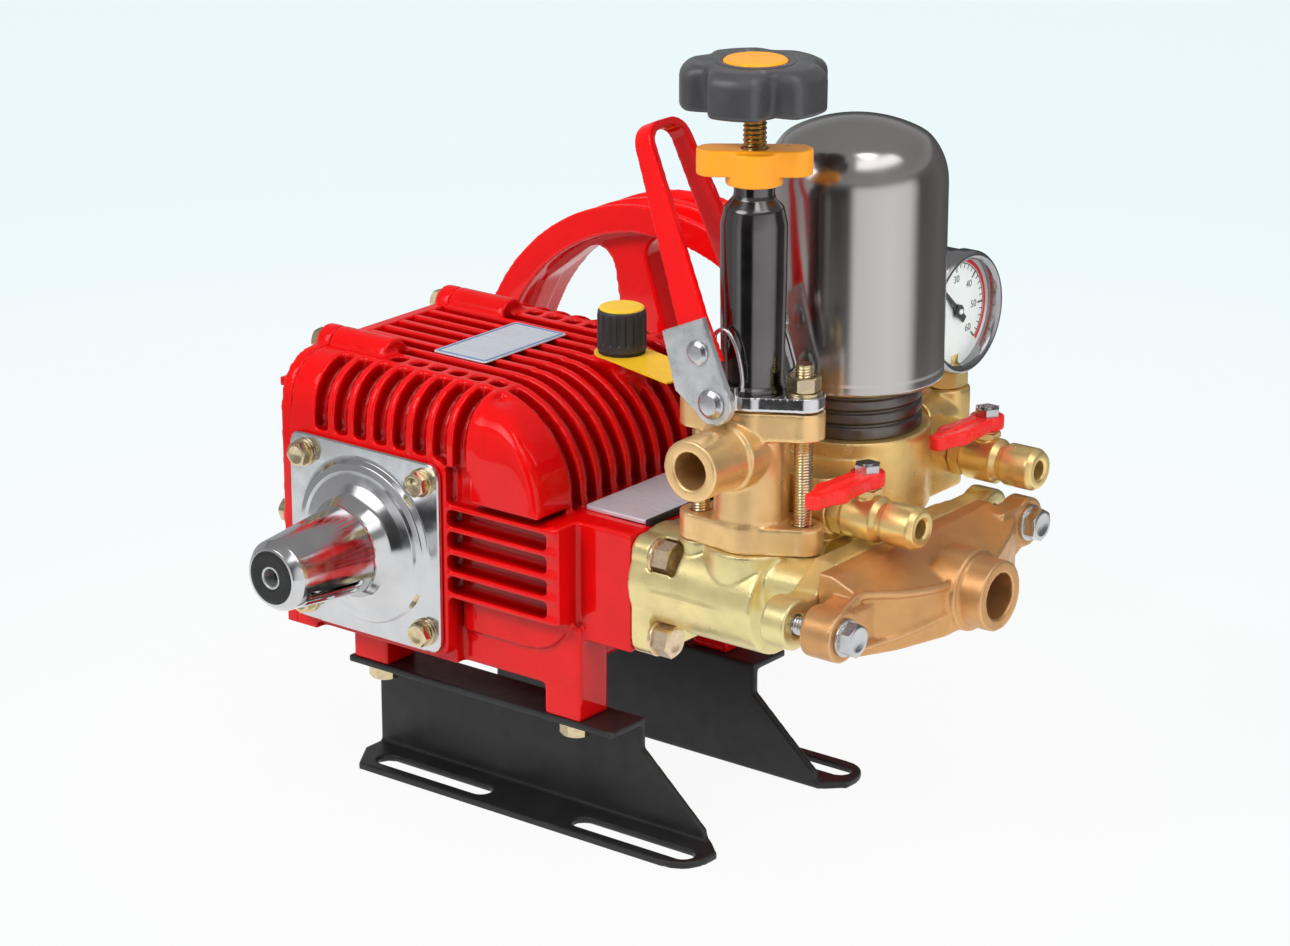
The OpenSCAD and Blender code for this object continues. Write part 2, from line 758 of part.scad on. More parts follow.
module pulley() color("red") at_crank() difference() {
    union() {
        to_y(pulley_offset) rotate_extrude($fn = 128) difference() {
            translate([rim_inner, 0]) square([pulley_radius - rim_inner, pulley_width]);
            for (y = [pulley_width/4 + 0.5, 3*pulley_width/4 - 0.5]) translate([pulley_radius, y])
                polygon([[1, -7], [1, 7], [-12, 4], [-12, -4]]);
        }
        rod_y(hub_in, hub_out, hub_radius);
        difference() {
            rod_y(spoke_y0, spoke_y0 + spoke_thick, rim_inner + 2);
            for (a = [0:4]) to_y(spoke_y0 - 1) rotate(a*72 + window_turn) linear_extrude(spoke_thick + 2)
                hull() {
                    for (c = [-21, 21]) rotate(c) translate([rim_inner - 14, 0]) circle(11, $fn = 32);
                    translate([rim_inner - 12.5, 0]) circle(11, $fn = 32);
                    for (c = [-8, 8]) rotate(c) translate([hub_radius + 20, 0]) circle(7, $fn = 32);
                }
        }
    }
    rod_y(hub_in - 1, hub_out + 1, seat_radius + run_gap);
    translate([0, 0, seat_radius]) span(-key_half - run_gap, key_half + run_gap, hub_in - 1,
        hub_out + 1, -key_half, key_half + 0.2);
}

rim_inner = pulley_radius - 14;
spoke_y0 = pulley_offset + 10;
spoke_thick = 14;
window_turn = 3.5;

module pulley_fixings() color("lightgray") at_crank() {
    // Washer, nut and key
    difference() {
        rod_y(hub_out, hub_out + 2, 15);
        rod_y(hub_out - 1, hub_out + 3, 7 + run_gap);
    }
    difference() {
        to_y(hub_out + 2) hex(22, 8);
        rod_y(hub_out + 1, shaft_end + 1, 7 + run_gap);
    }
    translate([0, 0, seat_radius]) span(-key_half + run_gap, key_half - run_gap, hub_in + key_in + run_gap,
        hub_in + key_in + key_length - run_gap, run_gap - key_half, key_half);
}

module big_end_bush(i) color("goldenrod") at_crank() translate([pin_x(i), lane(i), 0]) difference() {
    rod_y(-eye_width/2, eye_width/2, bush_outer);
    rod_y(-eye_width, eye_width, bush_inner);
}

module connecting_rod(i) color("slategray") at_crank() translate([pin_x(i), lane(i), 0]) difference() {
    union() {
        rod_y(-eye_width/2, eye_width/2, eye_outer);
        span(eye_outer - 3, rod_length - 4, -5, 5, -6, 6);
        translate([rod_length, 0, 0]) rod_y(-6, 6, small_end);
    }
    rod_y(-eye_width, eye_width, bush_outer + run_gap);
    translate([rod_length, 0, 0]) rod_y(-10, 10, wrist_radius + run_gap);
}

// Crosshead and plunger in one, with the wrist pin beside it as a solid of its own
module plunger(i) color("whitesmoke") at_crank() translate([pin_x(i) + rod_length, lane(i), 0]) {
    difference() {
        union() {
            rod_x(-cross_back, cross_front, cross_radius);
            rod_x(cross_front - 1, cross_front + plunger_length, plunger_radius);
        }
        span(-cross_back - 1, small_end + 1.5, -6.5, 6.5, -cross_radius - 1, cross_radius + 1);
        rod_y(-cross_radius - 1, cross_radius + 1, wrist_radius + run_gap);
    }
    rod_y(-cross_radius + 1.8, cross_radius - 1.8, wrist_radius);
}

// Liquid end

module packing_sets() color([0.2, 0.2, 0.18]) for (i = [0:2]) translate([0, lane(i), crank_z]) difference() {
    rod_x(man_x0 + 4, man_x0 + packing_depth, packing_outer);
    rod_x(man_x0, man_x0 + packing_depth + 1, plunger_radius + run_gap);
    // Grooves between the rings of the set
    for (x = [9, 14]) difference() {
        rod_x(man_x0 + x, man_x0 + x + 0.8, packing_outer + 1);
        rod_x(man_x0 + x - 1, man_x0 + x + 2, packing_outer - 0.8);
    }
}

module packing_glands() color("goldenrod") for (i = [0:2]) translate([0, lane(i), crank_z]) difference() {
    union() {
        rod_x(man_x0 - 14, man_x0 + 4, packing_outer);
        difference() {
            rod_x(man_x0 - 14, man_x0 - 6, collar_radius);
            // Spanner holes round the collar
            for (a = [0:60:300]) rotate([a, 0, 0]) translate([man_x0 - 10, 0, collar_radius - 3])
                cylinder(h = 10, r = 2);
        }
    }
    rod_x(man_x0 - 15, man_x0 + 5, plunger_radius + free_gap);
}

// Outline of the suction joint in Y and Z
joint_half = box_half;
joint_down = 16;
joint_up = 17;
module suction_outline() {
    polygon([[-joint_half, cover_z + 8], [-45, cover_z + joint_up], [40, cover_z + joint_up],
        [joint_half, cover_z + 15], [joint_half, cover_z - 5], [45, cover_z - joint_down],
        [-52, cover_z - joint_down], [-joint_half, cover_z - 10]]);
}

// Ears of the suction joint, one at each end, from x0 to x1
module ear(l, x0, x1) {
    translate([0, l[0], l[1]]) rod_x(x0, x1, lobe_radius);
    span(x0, x1, l[0] > 0 ? joint_half - 8 : l[0], l[0] > 0 ? l[0] : 8 - joint_half,
        l[1] - lobe_radius + 2, l[1] + lobe_radius - 2);
}

// Web from an ear of the cover into its end, from x0 to x1
module ear_web(l, x0, x1) {
    s = sign(l[0]);
    slab_x(x0, x1) polygon([[l[0] + s*7.5, l[1] + 7.8], [s*(joint_half - 2), cover_z + 10],
        [s*(joint_half - 2), cover_z - 13], [l[0], l[1] - lobe_radius + 0.4]]);
}

module manifold() color("darkkhaki") difference() {
    union() {
        slab_x(man_x0, man_x0 + flange_thick) translate([0, crank_z])
            round_rect(2*box_half, box_z1 - box_z0, 7);
        for (i = [0:2]) {
            translate([0, lane(i), barrel_z]) rod_x(man_x0 + eps, bore_end + 6, barrel_radius);
            translate([0, lane(i), cover_z]) rod_x(tower_x, suction_x, deck_z - cover_z - free_gap);
            at_tower(lane(i), barrel_z) cylinder(h = deck_z - barrel_z, r = 20);
        }
        // Deck that joins the three upright ports
        span(tower_x - deck_half, tower_x + deck_half, -plunger_pitch, plunger_pitch, barrel_z, deck_z);
        slab_x(suction_x - 12, suction_x) suction_outline();
        for (l = lobes) ear(l, suction_x - 12, suction_x);
        // Pads under the studs of the regulator
        for (x = [-1, 1]) at_tower(reg_y, barrel_z) rotate(reg_turn) translate([x*stud_out, 0, 0])
            cylinder(h = deck_z - barrel_z - free_gap, r = stud_pad);
    }
    for (i = [0:2]) {
        translate([0, lane(i), crank_z]) {
            rod_x(man_x0 - 1, man_x0 + packing_depth, packing_outer + run_gap);
            rod_x(man_x0 + packing_depth - 1, bore_end, plunger_radius + 2);
        }
        // Suction valve seat and port, then the discharge valve seat and port
        translate([0, lane(i), cover_z]) {
            rod_x(suction_x - valve_height, suction_x + 1, valve_radius + run_gap);
            rod_x(tower_x, suction_x + 1, port_radius);
        }
        at_tower(lane(i), deck_z) {
            translate([0, 0, -valve_height]) cylinder(h = valve_height + 1, r = valve_radius + run_gap);
            translate([0, 0, crank_z - deck_z]) cylinder(h = deck_z - crank_z + 1, r = port_radius);
        }
    }
    for (b = flange_bolts) translate([0, b[0], b[1]])
        rod_x(man_x0 - 1, man_x0 + flange_thick + 1, man_bolt + free_gap);
    for (b = flange_bolts) translate([0, b[0], b[1]])
        rod_x(man_x0 + flange_thick, man_x0 + flange_thick + 14, washer_radius + free_gap);
    for (l = lobes) translate([0, l[0], l[1]]) rod_x(suction_x - 20, suction_x + 1, man_bolt + free_gap);
    for (x = [-1, 1]) at_tower(reg_y, deck_z - 12) rotate(reg_turn) translate([x*stud_out, 0, 0])
        cylinder(h = 13, r = stud_radius + run_gap);
}

module manifold_bolts() color("burlywood") for (b = flange_bolts)
    translate([man_x0 + flange_thick, b[0], b[1]]) rotate([0, 90, 0])
        hex_bolt(man_bolt, man_bolt_length - 1, head_across, 8, washer_radius);

// Suction cover: a trough that is deepest at the middle, with a top that slopes to the inlet
module cover_body(inset) {
    z0 = cover_z - joint_down + inset;
    z1 = cover_z + joint_up - inset;
    d = cover_depth - inset;
    half = joint_half - inset;
    intersection() {
        translate([suction_x, 0, z0]) linear_extrude(z1 - z0)
            polygon([[0, -half], [d - 16, -half], [d - 7, 18 - half], [d, -16], [d, 18], [d - 9, half - 14],
                [d - 15, half], [0, half]]);
        slab_y(-half, half) translate([suction_x, 0])
            polygon([[0, z0], [d, z0], [d, z1 - 11], [7, z1], [0, z1]]);
    }
}

module suction_cover() color("peru") difference() {
    union() {
        slab_x(suction_x, suction_x + 8) suction_outline();
        cover_body(0);
        for (l = lobes) {
            ear(l, suction_x + ear_gap, suction_x + l[2]);
            ear_web(l, suction_x + ear_gap, suction_x + l[2] - 2);
        }
        translate([0, 2, cover_z]) rod_x(cover_x1 - 12, cover_x1 + inlet_length, inlet_radius);
        translate([0, 2, cover_z]) rod_x(cover_x1 - 12, cover_x1 + 3, inlet_radius + 2.5);
    }
    // Suction gallery and the bore of the inlet
    translate([-eps, 0, 0]) cover_body(6);
    translate([0, 2, cover_z]) rod_x(cover_x1 - 20, cover_x1 + inlet_length + 1, inlet_bore);
    for (l = lobes) translate([0, l[0], l[1]])
        rod_x(suction_x - 1, suction_x + l[2] + 1, man_bolt + free_gap);
}

module suction_cover_bolts() color("lightgray") for (l = lobes)
    translate([suction_x + l[2], l[0], l[1]]) rotate([0, 90, 0])
        hex_bolt(man_bolt, l[2] + 11, head_across, head_height, washer_radius);

// Valve cartridge: a seat ring below a bell cage with side ports, seat at z = 0
module valve_cartridge() difference() {
    union() {
        cylinder(h = 6, r = valve_radius);
        cylinder(h = valve_height - 0.2, r = valve_radius - 2.5);
    }
    translate([0, 0, -1]) cylinder(h = valve_height - 2, r = 6.5);
    for (a = [0:60:120]) rotate(a) translate([-20, -2, 8]) cube([40, 4, 4]);
}

module pump_valves() color("lightgray") for (i = [0:2]) {
    translate([suction_x, lane(i), cover_z]) rotate([0, -90, 0]) valve_cartridge();
    at_tower(lane(i), deck_z - valve_height) valve_cartridge();
}

// Outlet side

module discharge_block() color("darkgoldenrod") difference() {
    union() {
        translate([(block_front + block_back)/2, (block_y0 + block_y1)/2, deck_z])
            linear_extrude(block_top - deck_z) round_rect(block_front - block_back, block_y1 - block_y0, 9);
        at_tower(chamber_y, deck_z) cylinder(h = boss_top - deck_z, r = neck_radius + 4);
        for (c = cocks) translate([0, c[0], c[1]]) rod_x(block_front - 14, block_front, cock_radius);
        // Arm and upright boss for the gauge
        translate([gauge_stem_x, 0, gauge_boss_top - 11]) rod_y(block_y1 - 8, gauge_y, 10);
        translate([gauge_stem_x, gauge_y, gauge_boss_top - 22]) cylinder(h = 22, r = 11);
    }
    // Gallery, ports from the valves, outlet ports and the seat of the chamber neck
    translate([tower_x, 0, deck_z + 14]) rod_y(block_y0 + 6, block_y1 - 8, 6.5);
    for (i = [1, 2]) at_tower(lane(i), deck_z - 1) cylinder(h = 15, r = 9);
    for (c = cocks) translate([0, c[0], c[1]]) rod_x(tower_x, block_front + 1, cock_spigot + run_gap);
    at_tower(chamber_y, boss_top - 12) cylinder(h = 13, r = neck_spigot + run_gap);
    at_tower(chamber_y, deck_z + 10) cylinder(h = boss_top - deck_z, r = 12);
    translate([gauge_stem_x, gauge_y, gauge_boss_top - 12]) cylinder(h = 13, r = gauge_stem + run_gap);
}

cock_spigot = 6.5;

module chamber_neck() color([0.3, 0.28, 0.26]) at_tower(chamber_y, boss_top) difference() {
    union() {
        rotate_extrude() difference() {
            square([neck_radius, chamber_z - boss_top]);
            // Thread grooves
            for (z = [4:3:chamber_z - boss_top - 2]) translate([neck_radius, z])
                polygon([[1, -1.3], [1, 1.3], [-1.2, 0]]);
        }
        translate([0, 0, -12]) cylinder(h = 13, r = neck_spigot);
        cylinder(h = chamber_z - boss_top + 8, r = neck_spigot);
    }
    translate([0, 0, -13]) cylinder(h = 60, r = 10);
}

// Domed outline of the chamber in radius and height
module chamber_outline(r, h, corner) intersection() {
    union() {
        square([r, h - corner]);
        square([r - corner, h]);
        translate([r - corner, h - corner]) circle(corner);
    }
    translate([0, h - chamber_crown]) circle(chamber_crown + eps);
    translate([0, -1]) square([r + 1, h + 2]);
}

module chamber_shape(r, h, corner) union() {
    rotate_extrude() chamber_outline(r, h, corner);
    cylinder(h = h - corner - 20, r = r);
}

module air_chamber() color("silver") at_tower(chamber_y, chamber_z) difference() {
    chamber_shape(chamber_radius, chamber_height, chamber_corner);
    translate([0, 0, 4]) chamber_shape(chamber_radius - chamber_wall, chamber_height - 4 - chamber_wall,
        chamber_corner - chamber_wall);
    translate([0, 0, -1]) cylinder(h = 6, r = neck_spigot + run_gap);
}

// Outlet cock along +X from the block face
stem_reach = 15;
ball_radius = 7;
cock_bore = 4.2;
cock_mouth = 9.4;
stem_radius = 3.2;
stem_length = 24;
handle_rise = 14;

module cock_body() difference() {
    union() {
        rod_x(-8, eps, cock_spigot);
        to_x(0) hex(17, 6);
        rod_x(6, 24, cock_radius);
        rod_x(24 - eps, 27, 8.2);
        rod_x(27 - eps, cock_length, cock_mouth);
        translate([stem_reach, 0, 0]) cylinder(h = handle_rise - 0.6, r = 5.6);
    }
    rod_x(-9, cock_length + 1, cock_bore);
    rod_x(stem_reach - ball_radius - 0.6, stem_reach + ball_radius + 0.6, ball_radius + free_gap);
    translate([stem_reach, 0, 0]) cylinder(h = handle_rise, r = stem_radius + free_gap);
}

module at_cock(i) translate([block_front, cocks[i][0], cocks[i][1]]) children();

module cock_bodies() color("gold") for (i = [0, 1]) at_cock(i) cock_body();

// Ball and stem in one, with the handle nut on top as a solid of its own
module cock_stem(i) color("silver") at_cock(i) translate([stem_reach, 0, 0]) {
    difference() {
        union() {
            sphere(ball_radius);
            cylinder(h = stem_length, r = stem_radius);
        }
        rod_y(-20, 20, cock_bore);
    }
    translate([0, 0, handle_rise + handle_thick]) difference() {
        hex(10, 3.4);
        translate([0, 0, -1]) cylinder(h = 6, r = stem_radius + run_gap);
    }
}

handle_length = 42;
handle_thick = 6;
handle_wide = 7.5;
handle_end = 4;
belly_out = handle_length*0.6;
end_out = handle_length - handle_end;

// Lever handle that points to -Y while the cock is shut
module cock_handle(i) color("red") at_cock(i) translate([stem_reach, 0, handle_rise]) difference() {
    union() {
        cylinder(h = handle_thick, r = handle_wide);
        linear_extrude(handle_thick) polygon([[-5.5, -4], [5.5, -4], [handle_wide - 1, -belly_out],
            [handle_end - 0.6, -end_out], [0.6 - handle_end, -end_out], [1 - handle_wide, -belly_out]]);
        translate([0, -belly_out, 0]) cylinder(h = handle_thick, r = handle_wide);
        translate([0, -end_out, 0]) cylinder(h = handle_thick, r = handle_end);
    }
    translate([0, 0, -1]) cylinder(h = handle_thick + 2, r = stem_radius + run_gap);
}

module near_cock_stem() cock_stem(0);

module far_cock_stem() cock_stem(1);

module near_cock_handle() cock_handle(0);

module far_cock_handle() cock_handle(1);

// Gauge

dial_x = gauge_x1 - 8;

module at_gauge() translate([0, gauge_y, gauge_z]) children();

module gauge_case() color("silver") difference() {
    union() {
        at_gauge() rod_x(gauge_x0, gauge_x1, gauge_radius);
        translate([gauge_stem_x, gauge_y, gauge_boss_top - 11])
            cylinder(h = gauge_z - gauge_boss_top, r = gauge_stem);
        translate([gauge_stem_x, gauge_y, gauge_boss_top]) hex(17, 8);
    }
    at_gauge() {
        rod_x(gauge_x0 + 2, gauge_x1 - 2, gauge_radius - 2);
        rod_x(gauge_x0 + 3, gauge_x1 + 1, gauge_radius - 4);
    }
}

module gauge_dial() color("white") at_gauge() {
    rod_x(dial_x - 1, dial_x, gauge_radius - 2 - run_gap);
    // Movement behind the dial and the post of the needle
    rod_x(gauge_x0 + 2, dial_x - 0.5, 8);
    rod_x(dial_x - 1, dial_x + 3.2, needle_post);
}

module gauge_lens() color([0.8, 0.9, 1, 0.4]) at_gauge()
    rod_x(gauge_x1 - 3.6, gauge_x1 - 2.1, gauge_radius - 2 - run_gap);

needle_length = 17;
needle_post = 1.2;

// The needle points down to the left, at zero, seen from the front
module gauge_needle() color("black") at_gauge() rotate([-45, 0, 0]) difference() {
    union() {
        slab_x(dial_x + 1, dial_x + 1.8) polygon([[7, 1.6], [2, 1.4], [-needle_length, 0.5],
            [-needle_length, -0.5], [2, -1.4], [7, -1.6]]);
        rod_x(dial_x + 0.8, dial_x + 2.4, 3);
    }
    rod_x(dial_x, dial_x + 4, needle_post + run_gap);
}

// Regulator

// Outline of a regulator flange: an oval that runs from the body out to the two studs
flange_mid = reg_body + 0.7;
flange_fan = 70;
function flange_point(r) = (r - 0.4)*[cos(flange_fan), sin(flange_fan)];
module reg_flange_shape(t) linear_extrude(t) rotate(reg_turn) {
    m = flange_point(flange_mid);
    e = flange_point(stud_pad) + [stud_out, 0];
    polygon([m, e, [e[0], -e[1]], [m[0], -m[1]], -m, -e, [-e[0], e[1]], [-m[0], m[1]]]);
    circle(flange_mid);
    for (x = [-1, 1]) translate([x*stud_out, 0]) circle(stud_pad);
}

module stud_holes(r, h) rotate(reg_turn) for (x = [-1, 1]) translate([x*stud_out, 0, -1])
    cylinder(h = h, r = r);

module regulator_body() color("peru") at_tower(reg_y, 0) difference() {
    union() {
        translate([0, 0, deck_z]) reg_flange_shape(reg_flange);
        translate([0, 0, deck_z]) cylinder(h = reg_top - deck_z, r = reg_body);
        translate([0, 0, reg_top - reg_flange]) reg_flange_shape(reg_flange);
        translate([0, 0, overflow_z]) rod_y(-overflow_reach, 0, overflow_radius);
        translate([0, 0, overflow_z]) rod_y(1.5 - cheek_in, 0, overflow_radius + 1.7);
    }
    translate([0, 0, deck_z - 1]) cylinder(h = reg_top - deck_z - 6, r = overflow_bore + 0.6);
    translate([0, 0, reg_top - 8]) cylinder(h = 9, r = overflow_bore + 2);
    translate([0, 0, overflow_z]) rod_y(-overflow_reach - 1, 0, overflow_bore);
    translate([0, 0, deck_z]) stud_holes(stud_radius + free_gap, reg_top - deck_z + 2);
}

stud_top = plate_top + 13;

module regulator_studs() color("lightgray") at_tower(reg_y, 0) rotate(reg_turn) for (x = [-1, 1])
    translate([x*stud_out, 0, 0]) {
        translate([0, 0, deck_z - 11]) cylinder(h = stud_top - deck_z + 11, r = stud_radius);
        // Washer and nut on the plate
        difference() {
            translate([0, 0, plate_top]) {
                cylinder(h = 1.5, r = 7.5);
                translate([0, 0, 1.5]) hex(12.5, 6.5);
            }
            cylinder(h = stud_top, r = stud_radius + run_gap);
        }
    }

module regulator_flange_plate() color("silver") at_tower(reg_y, reg_top) difference() {
    union() {
        translate([0, 0, 1]) reg_flange_shape(plate_thick);
        cylinder(h = 1 + eps, r = 15);
        // Ears that carry the lever pivots
        for (s = [-1, 1]) span(pivot_x - tower_x - 6, pivot_x - tower_x + 6, s > 0 ? ear_in : -ear_out,
            s > 0 ? ear_out : -ear_in, 1, pivot_z - reg_top + 6);
    }
    translate([0, 0, -1]) cylinder(h = 20, r = rod_hole);
    stud_holes(stud_radius + free_gap, 20);
    translate([pivot_x - tower_x, 0, pivot_z - reg_top]) rod_y(-40, 40, pivot_radius + run_gap);
}

rod_hole = 6;
ear_in = 14.4;
ear_out = 17;

module spring_housing() color("silver") at_tower(reg_y, 0) difference() {
    union() {
        translate([0, 0, plate_top]) cylinder(h = housing_length, r = housing_radius);
        translate([0, 0, housing_top - eps]) cylinder(h = 4, r1 = housing_radius - 0.6, r2 = 8.5);
        translate([0, 0, housing_top]) cylinder(h = neck_top - housing_top, r = 8.5);
    }
    translate([0, 0, plate_top - 1]) cylinder(h = housing_length - 2, r = housing_radius - 1.6);
    translate([0, 0, plate_top]) cylinder(h = 200, r = screw_radius + free_gap);
}

// Coil spring between the plate and the spring seat, one tube
spring_steps = 8*spring_turns;
spring_low = plate_top + free_gap + spring_wire/2;
spring_rise = seat_z - plate_top - 2*free_gap - spring_wire;
function spring_point(k) =
    let (f = k/spring_steps)
    [spring_mean*cos(360*spring_turns*f), spring_mean*sin(360*spring_turns*f), spring_low + spring_rise*f];
spring_path = [for (k = [0:spring_steps]) spring_point(k)];
spring_ring = [for (j = [0:5]) 60*j];
function spring_vertex(k, a) =
    let (p = spring_path[k], out = [p[0], p[1], 0]/spring_mean)
    p + spring_wire/2*(cos(a)*out + sin(a)*[0, 0, 1]);
spring_points = [for (k = [0:spring_steps], a = spring_ring) spring_vertex(k, a)];
function tube_faces(rings, sides) = concat(
    [for (k = [0:rings - 2], j = [0:sides - 1]) let (a = k*sides + j, b = k*sides + (j + 1) % sides)
        each [[a, b, b + sides], [a, b + sides, a + sides]]],
    [for (j = [1:sides - 2]) [0, j + 1, j]],
    [for (j = [1:sides - 2]) let (e = (rings - 1)*sides) [e, e + j, e + j + 1]]);
spring_gap = min([for (k = [0:spring_steps - 8]) norm(spring_path[k + 8] - spring_path[k])]) - spring_wire;
echo(spring_gap = spring_gap);

module regulator_spring() color("gray") at_tower(reg_y, 0)
    polyhedron(points = spring_points, faces = tube_faces(spring_steps + 1, 6));

module spring_seat() color("gray") at_tower(reg_y, seat_z) {
    cylinder(h = seat_thick, r = housing_radius - 1.6 - free_gap);
    translate([0, 0, -4]) cylinder(h = 4 + eps, r = spring_mean - spring_wire);
}

module adjusting_screw() color("goldenrod") at_tower(reg_y, seat_z + seat_thick)
    cylinder(h = knob_z + knob_height - 3 - seat_z - seat_thick, r = screw_radius);

notch_count = 5;
notch_radius = 10;
notch_out = 1.5;
notch_turn = -36.5;

module adjusting_knob() color([0.15, 0.15, 0.16]) at_tower(reg_y, knob_z) difference() {
    union() {
        cylinder(h = knob_height, r = knob_radius);
        translate([0, 0, -4]) cylinder(h = 5, r = 10);
    }
    // Finger notches
    for (a = [0:notch_count - 1]) rotate(notch_turn + a*360/notch_count)
        translate([knob_radius + notch_out, 0, -1]) cylinder(h = knob_height + 2, r = notch_radius);
    translate([0, 0, -5]) cylinder(h = knob_height + 2, r = screw_radius + run_gap);
    translate([0, 0, knob_height - 2]) cylinder(h = 3, r = cap_radius + run_gap);
}

cap_radius = 13.5;

module knob_cap() color("darkorange") at_tower(reg_y, knob_z + knob_height - 2)
    cylinder(h = cap_height, r = cap_radius);

wing_reach = 24;
wing_half = 7.5;
wing_low = 4;
nut_turn = 36;
nut_hub = 12;

module lock_nut() color("orange") at_tower(reg_y, neck_top) rotate(nut_turn) difference() {
    union() {
        cylinder(h = nut_height - 1, r = nut_hub);
        // Thick bar with round ends across the hub
        translate([0, 0, wing_low]) linear_extrude(nut_height - wing_low)
            oblong(2*(wing_reach - wing_half), wing_half);
    }
    translate([0, 0, -1]) cylinder(h = nut_height + 2, r = screw_radius + free_gap);
}

// Lever: drawn upright about its pivot, then leaned back

module at_lever() translate([pivot_x, reg_y, pivot_z]) rotate([0, -lever_lean, 0]) children();

bail_foot = 15;
bail_straight = 36;
bail_corner = 10;
bail_top_in = 10.5;
rivet_x = 2;
rivet_z = 22;
rivet_radius = 3.4;
rivet_in = 14.2;
cheek_radius = 9.5;
cheek_front = 9;
cheek_back = 13;
cheek_length = 35;
strap_low = 16.5;
strap_high = 8.5;

module lever_bail() color("red") at_lever() difference() {
    intersection() {
        slab_x(-strap_low/2, strap_low/2) difference() {
            bail_outline(cheek_in, bail_top_in + arm_thick, lever_length, bail_corner, 0);
            bail_outline(cheek_in - arm_thick, bail_top_in, lever_length - arm_thick,
                bail_corner - arm_thick, 1);
        }
        // The strap narrows upwards
        slab_y(-cheek_in - 1, cheek_in + 1) polygon([[-strap_low/2, bail_foot - 1],
            [strap_low/2, bail_foot - 1], [strap_high/2, lever_length + 1], [-strap_high/2, lever_length + 1]]);
    }
    translate([rivet_x, 0, rivet_z]) rod_y(-cheek_in - 1, cheek_in + 1, rivet_radius + run_gap);
}

// Upright loop that narrows to round upper corners, open below
module bail_outline(half, top_half, top, r, drop) {
    polygon([[-half, bail_foot - drop], [half, bail_foot - drop], [half, bail_straight],
        [top_half, top - r], [-top_half, top - r], [-half, bail_straight]]);
    translate([r - top_half, top - r - 1]) square([2*(top_half - r), r + 1]);
    for (s = [-1, 1]) translate([s*(top_half - r), top - r]) circle(r);
}

module lever_cheeks() color("darkgray") at_lever() difference() {
    for (s = [-1, 1]) slab_y(s > 0 ? cheek_in : -cheek_in - cheek_thick,
        s > 0 ? cheek_in + cheek_thick : -cheek_in) {
        circle(cheek_radius);
        polygon([[-9.2, -2], [cheek_front, 0], [cheek_front, cheek_length], [-cheek_back, cheek_length],
            [-cheek_back - 3.5, 10]]);
    }
    rod_y(-2*cheek_in, 2*cheek_in, pivot_radius + run_gap);
    translate([rivet_x, 0, rivet_z]) rod_y(-2*cheek_in, 2*cheek_in, rivet_radius + run_gap);
}

module lever_pins() color("silver") at_lever() for (s = [-1, 1]) mirror([0, s > 0 ? 0 : 1, 0]) {
    rod_y(ear_in, cheek_in + cheek_thick + eps, pivot_radius);
    rod_y(cheek_in + cheek_thick, cheek_in + cheek_thick + 3, pivot_radius + 2.5);
    translate([rivet_x, 0, rivet_z]) {
        rod_y(rivet_in, cheek_in + cheek_thick + eps, rivet_radius);
        rod_y(cheek_in + cheek_thick, cheek_in + cheek_thick + 2.5, rivet_radius + 2);
    }
}

// Numbered nodes

module big_end_bush_1() big_end_bush(0);

module big_end_bush_2() big_end_bush(1);

module big_end_bush_3() big_end_bush(2);

module connecting_rod_1() connecting_rod(0);

module connecting_rod_2() connecting_rod(1);

module connecting_rod_3() connecting_rod(2);

module plunger_1() plunger(0);

module plunger_2() plunger(1);

module plunger_3() plunger(2);

crankcase();
rear_cover();
cover_bolts();
oil_sight_glass();
shaft_guard();
crank_bearings();
far_bearing_cover();
shaft_oil_seal();
near_foot();
far_foot();
foot_bolts();
name_plate();
gland_cover_plate();
filler_tag();
packing_sets();
packing_glands();
manifold();
manifold_bolts();
suction_cover();
suction_cover_bolts();
pump_valves();
discharge_block();
chamber_neck();
air_chamber();
regulator_body();
regulator_studs();
regulator_flange_plate();
spring_housing();
regulator_spring();
gauge_case();
gauge_dial();
gauge_lens();
cock_bodies();
crankshaft();
pulley();
pulley_fixings();
big_end_bush_1();
big_end_bush_2();
big_end_bush_3();
connecting_rod_1();
connecting_rod_2();
connecting_rod_3();
plunger_1();
plunger_2();
plunger_3();
spring_seat();
adjusting_knob();
knob_cap();
adjusting_screw();
lock_nut();
lever_bail();
lever_cheeks();
lever_pins();
near_cock_handle();
near_cock_stem();
far_cock_handle();
far_cock_stem();
gauge_needle();
oil_cap();
oil_cap_seal();
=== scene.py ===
from math import acos, atan2, cos, hypot, pi, radians, sin, sqrt, tan

import bmesh
import bpy
from mathutils import Matrix, Vector


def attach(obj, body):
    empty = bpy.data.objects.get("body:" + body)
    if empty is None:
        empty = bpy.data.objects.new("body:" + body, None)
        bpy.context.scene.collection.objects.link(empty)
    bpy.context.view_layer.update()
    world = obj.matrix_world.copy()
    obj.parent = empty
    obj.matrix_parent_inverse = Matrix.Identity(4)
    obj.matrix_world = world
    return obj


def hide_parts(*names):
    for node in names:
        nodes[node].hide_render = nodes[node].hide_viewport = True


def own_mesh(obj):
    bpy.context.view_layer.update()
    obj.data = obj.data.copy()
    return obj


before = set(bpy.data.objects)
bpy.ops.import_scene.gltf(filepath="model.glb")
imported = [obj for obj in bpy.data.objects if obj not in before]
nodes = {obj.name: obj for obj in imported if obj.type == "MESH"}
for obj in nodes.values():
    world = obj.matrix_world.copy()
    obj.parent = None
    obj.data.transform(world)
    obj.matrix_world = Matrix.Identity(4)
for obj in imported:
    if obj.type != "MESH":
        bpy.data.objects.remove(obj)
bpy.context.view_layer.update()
scene = bpy.context.scene

MM = 0.001
UP = (0, 0, 1)

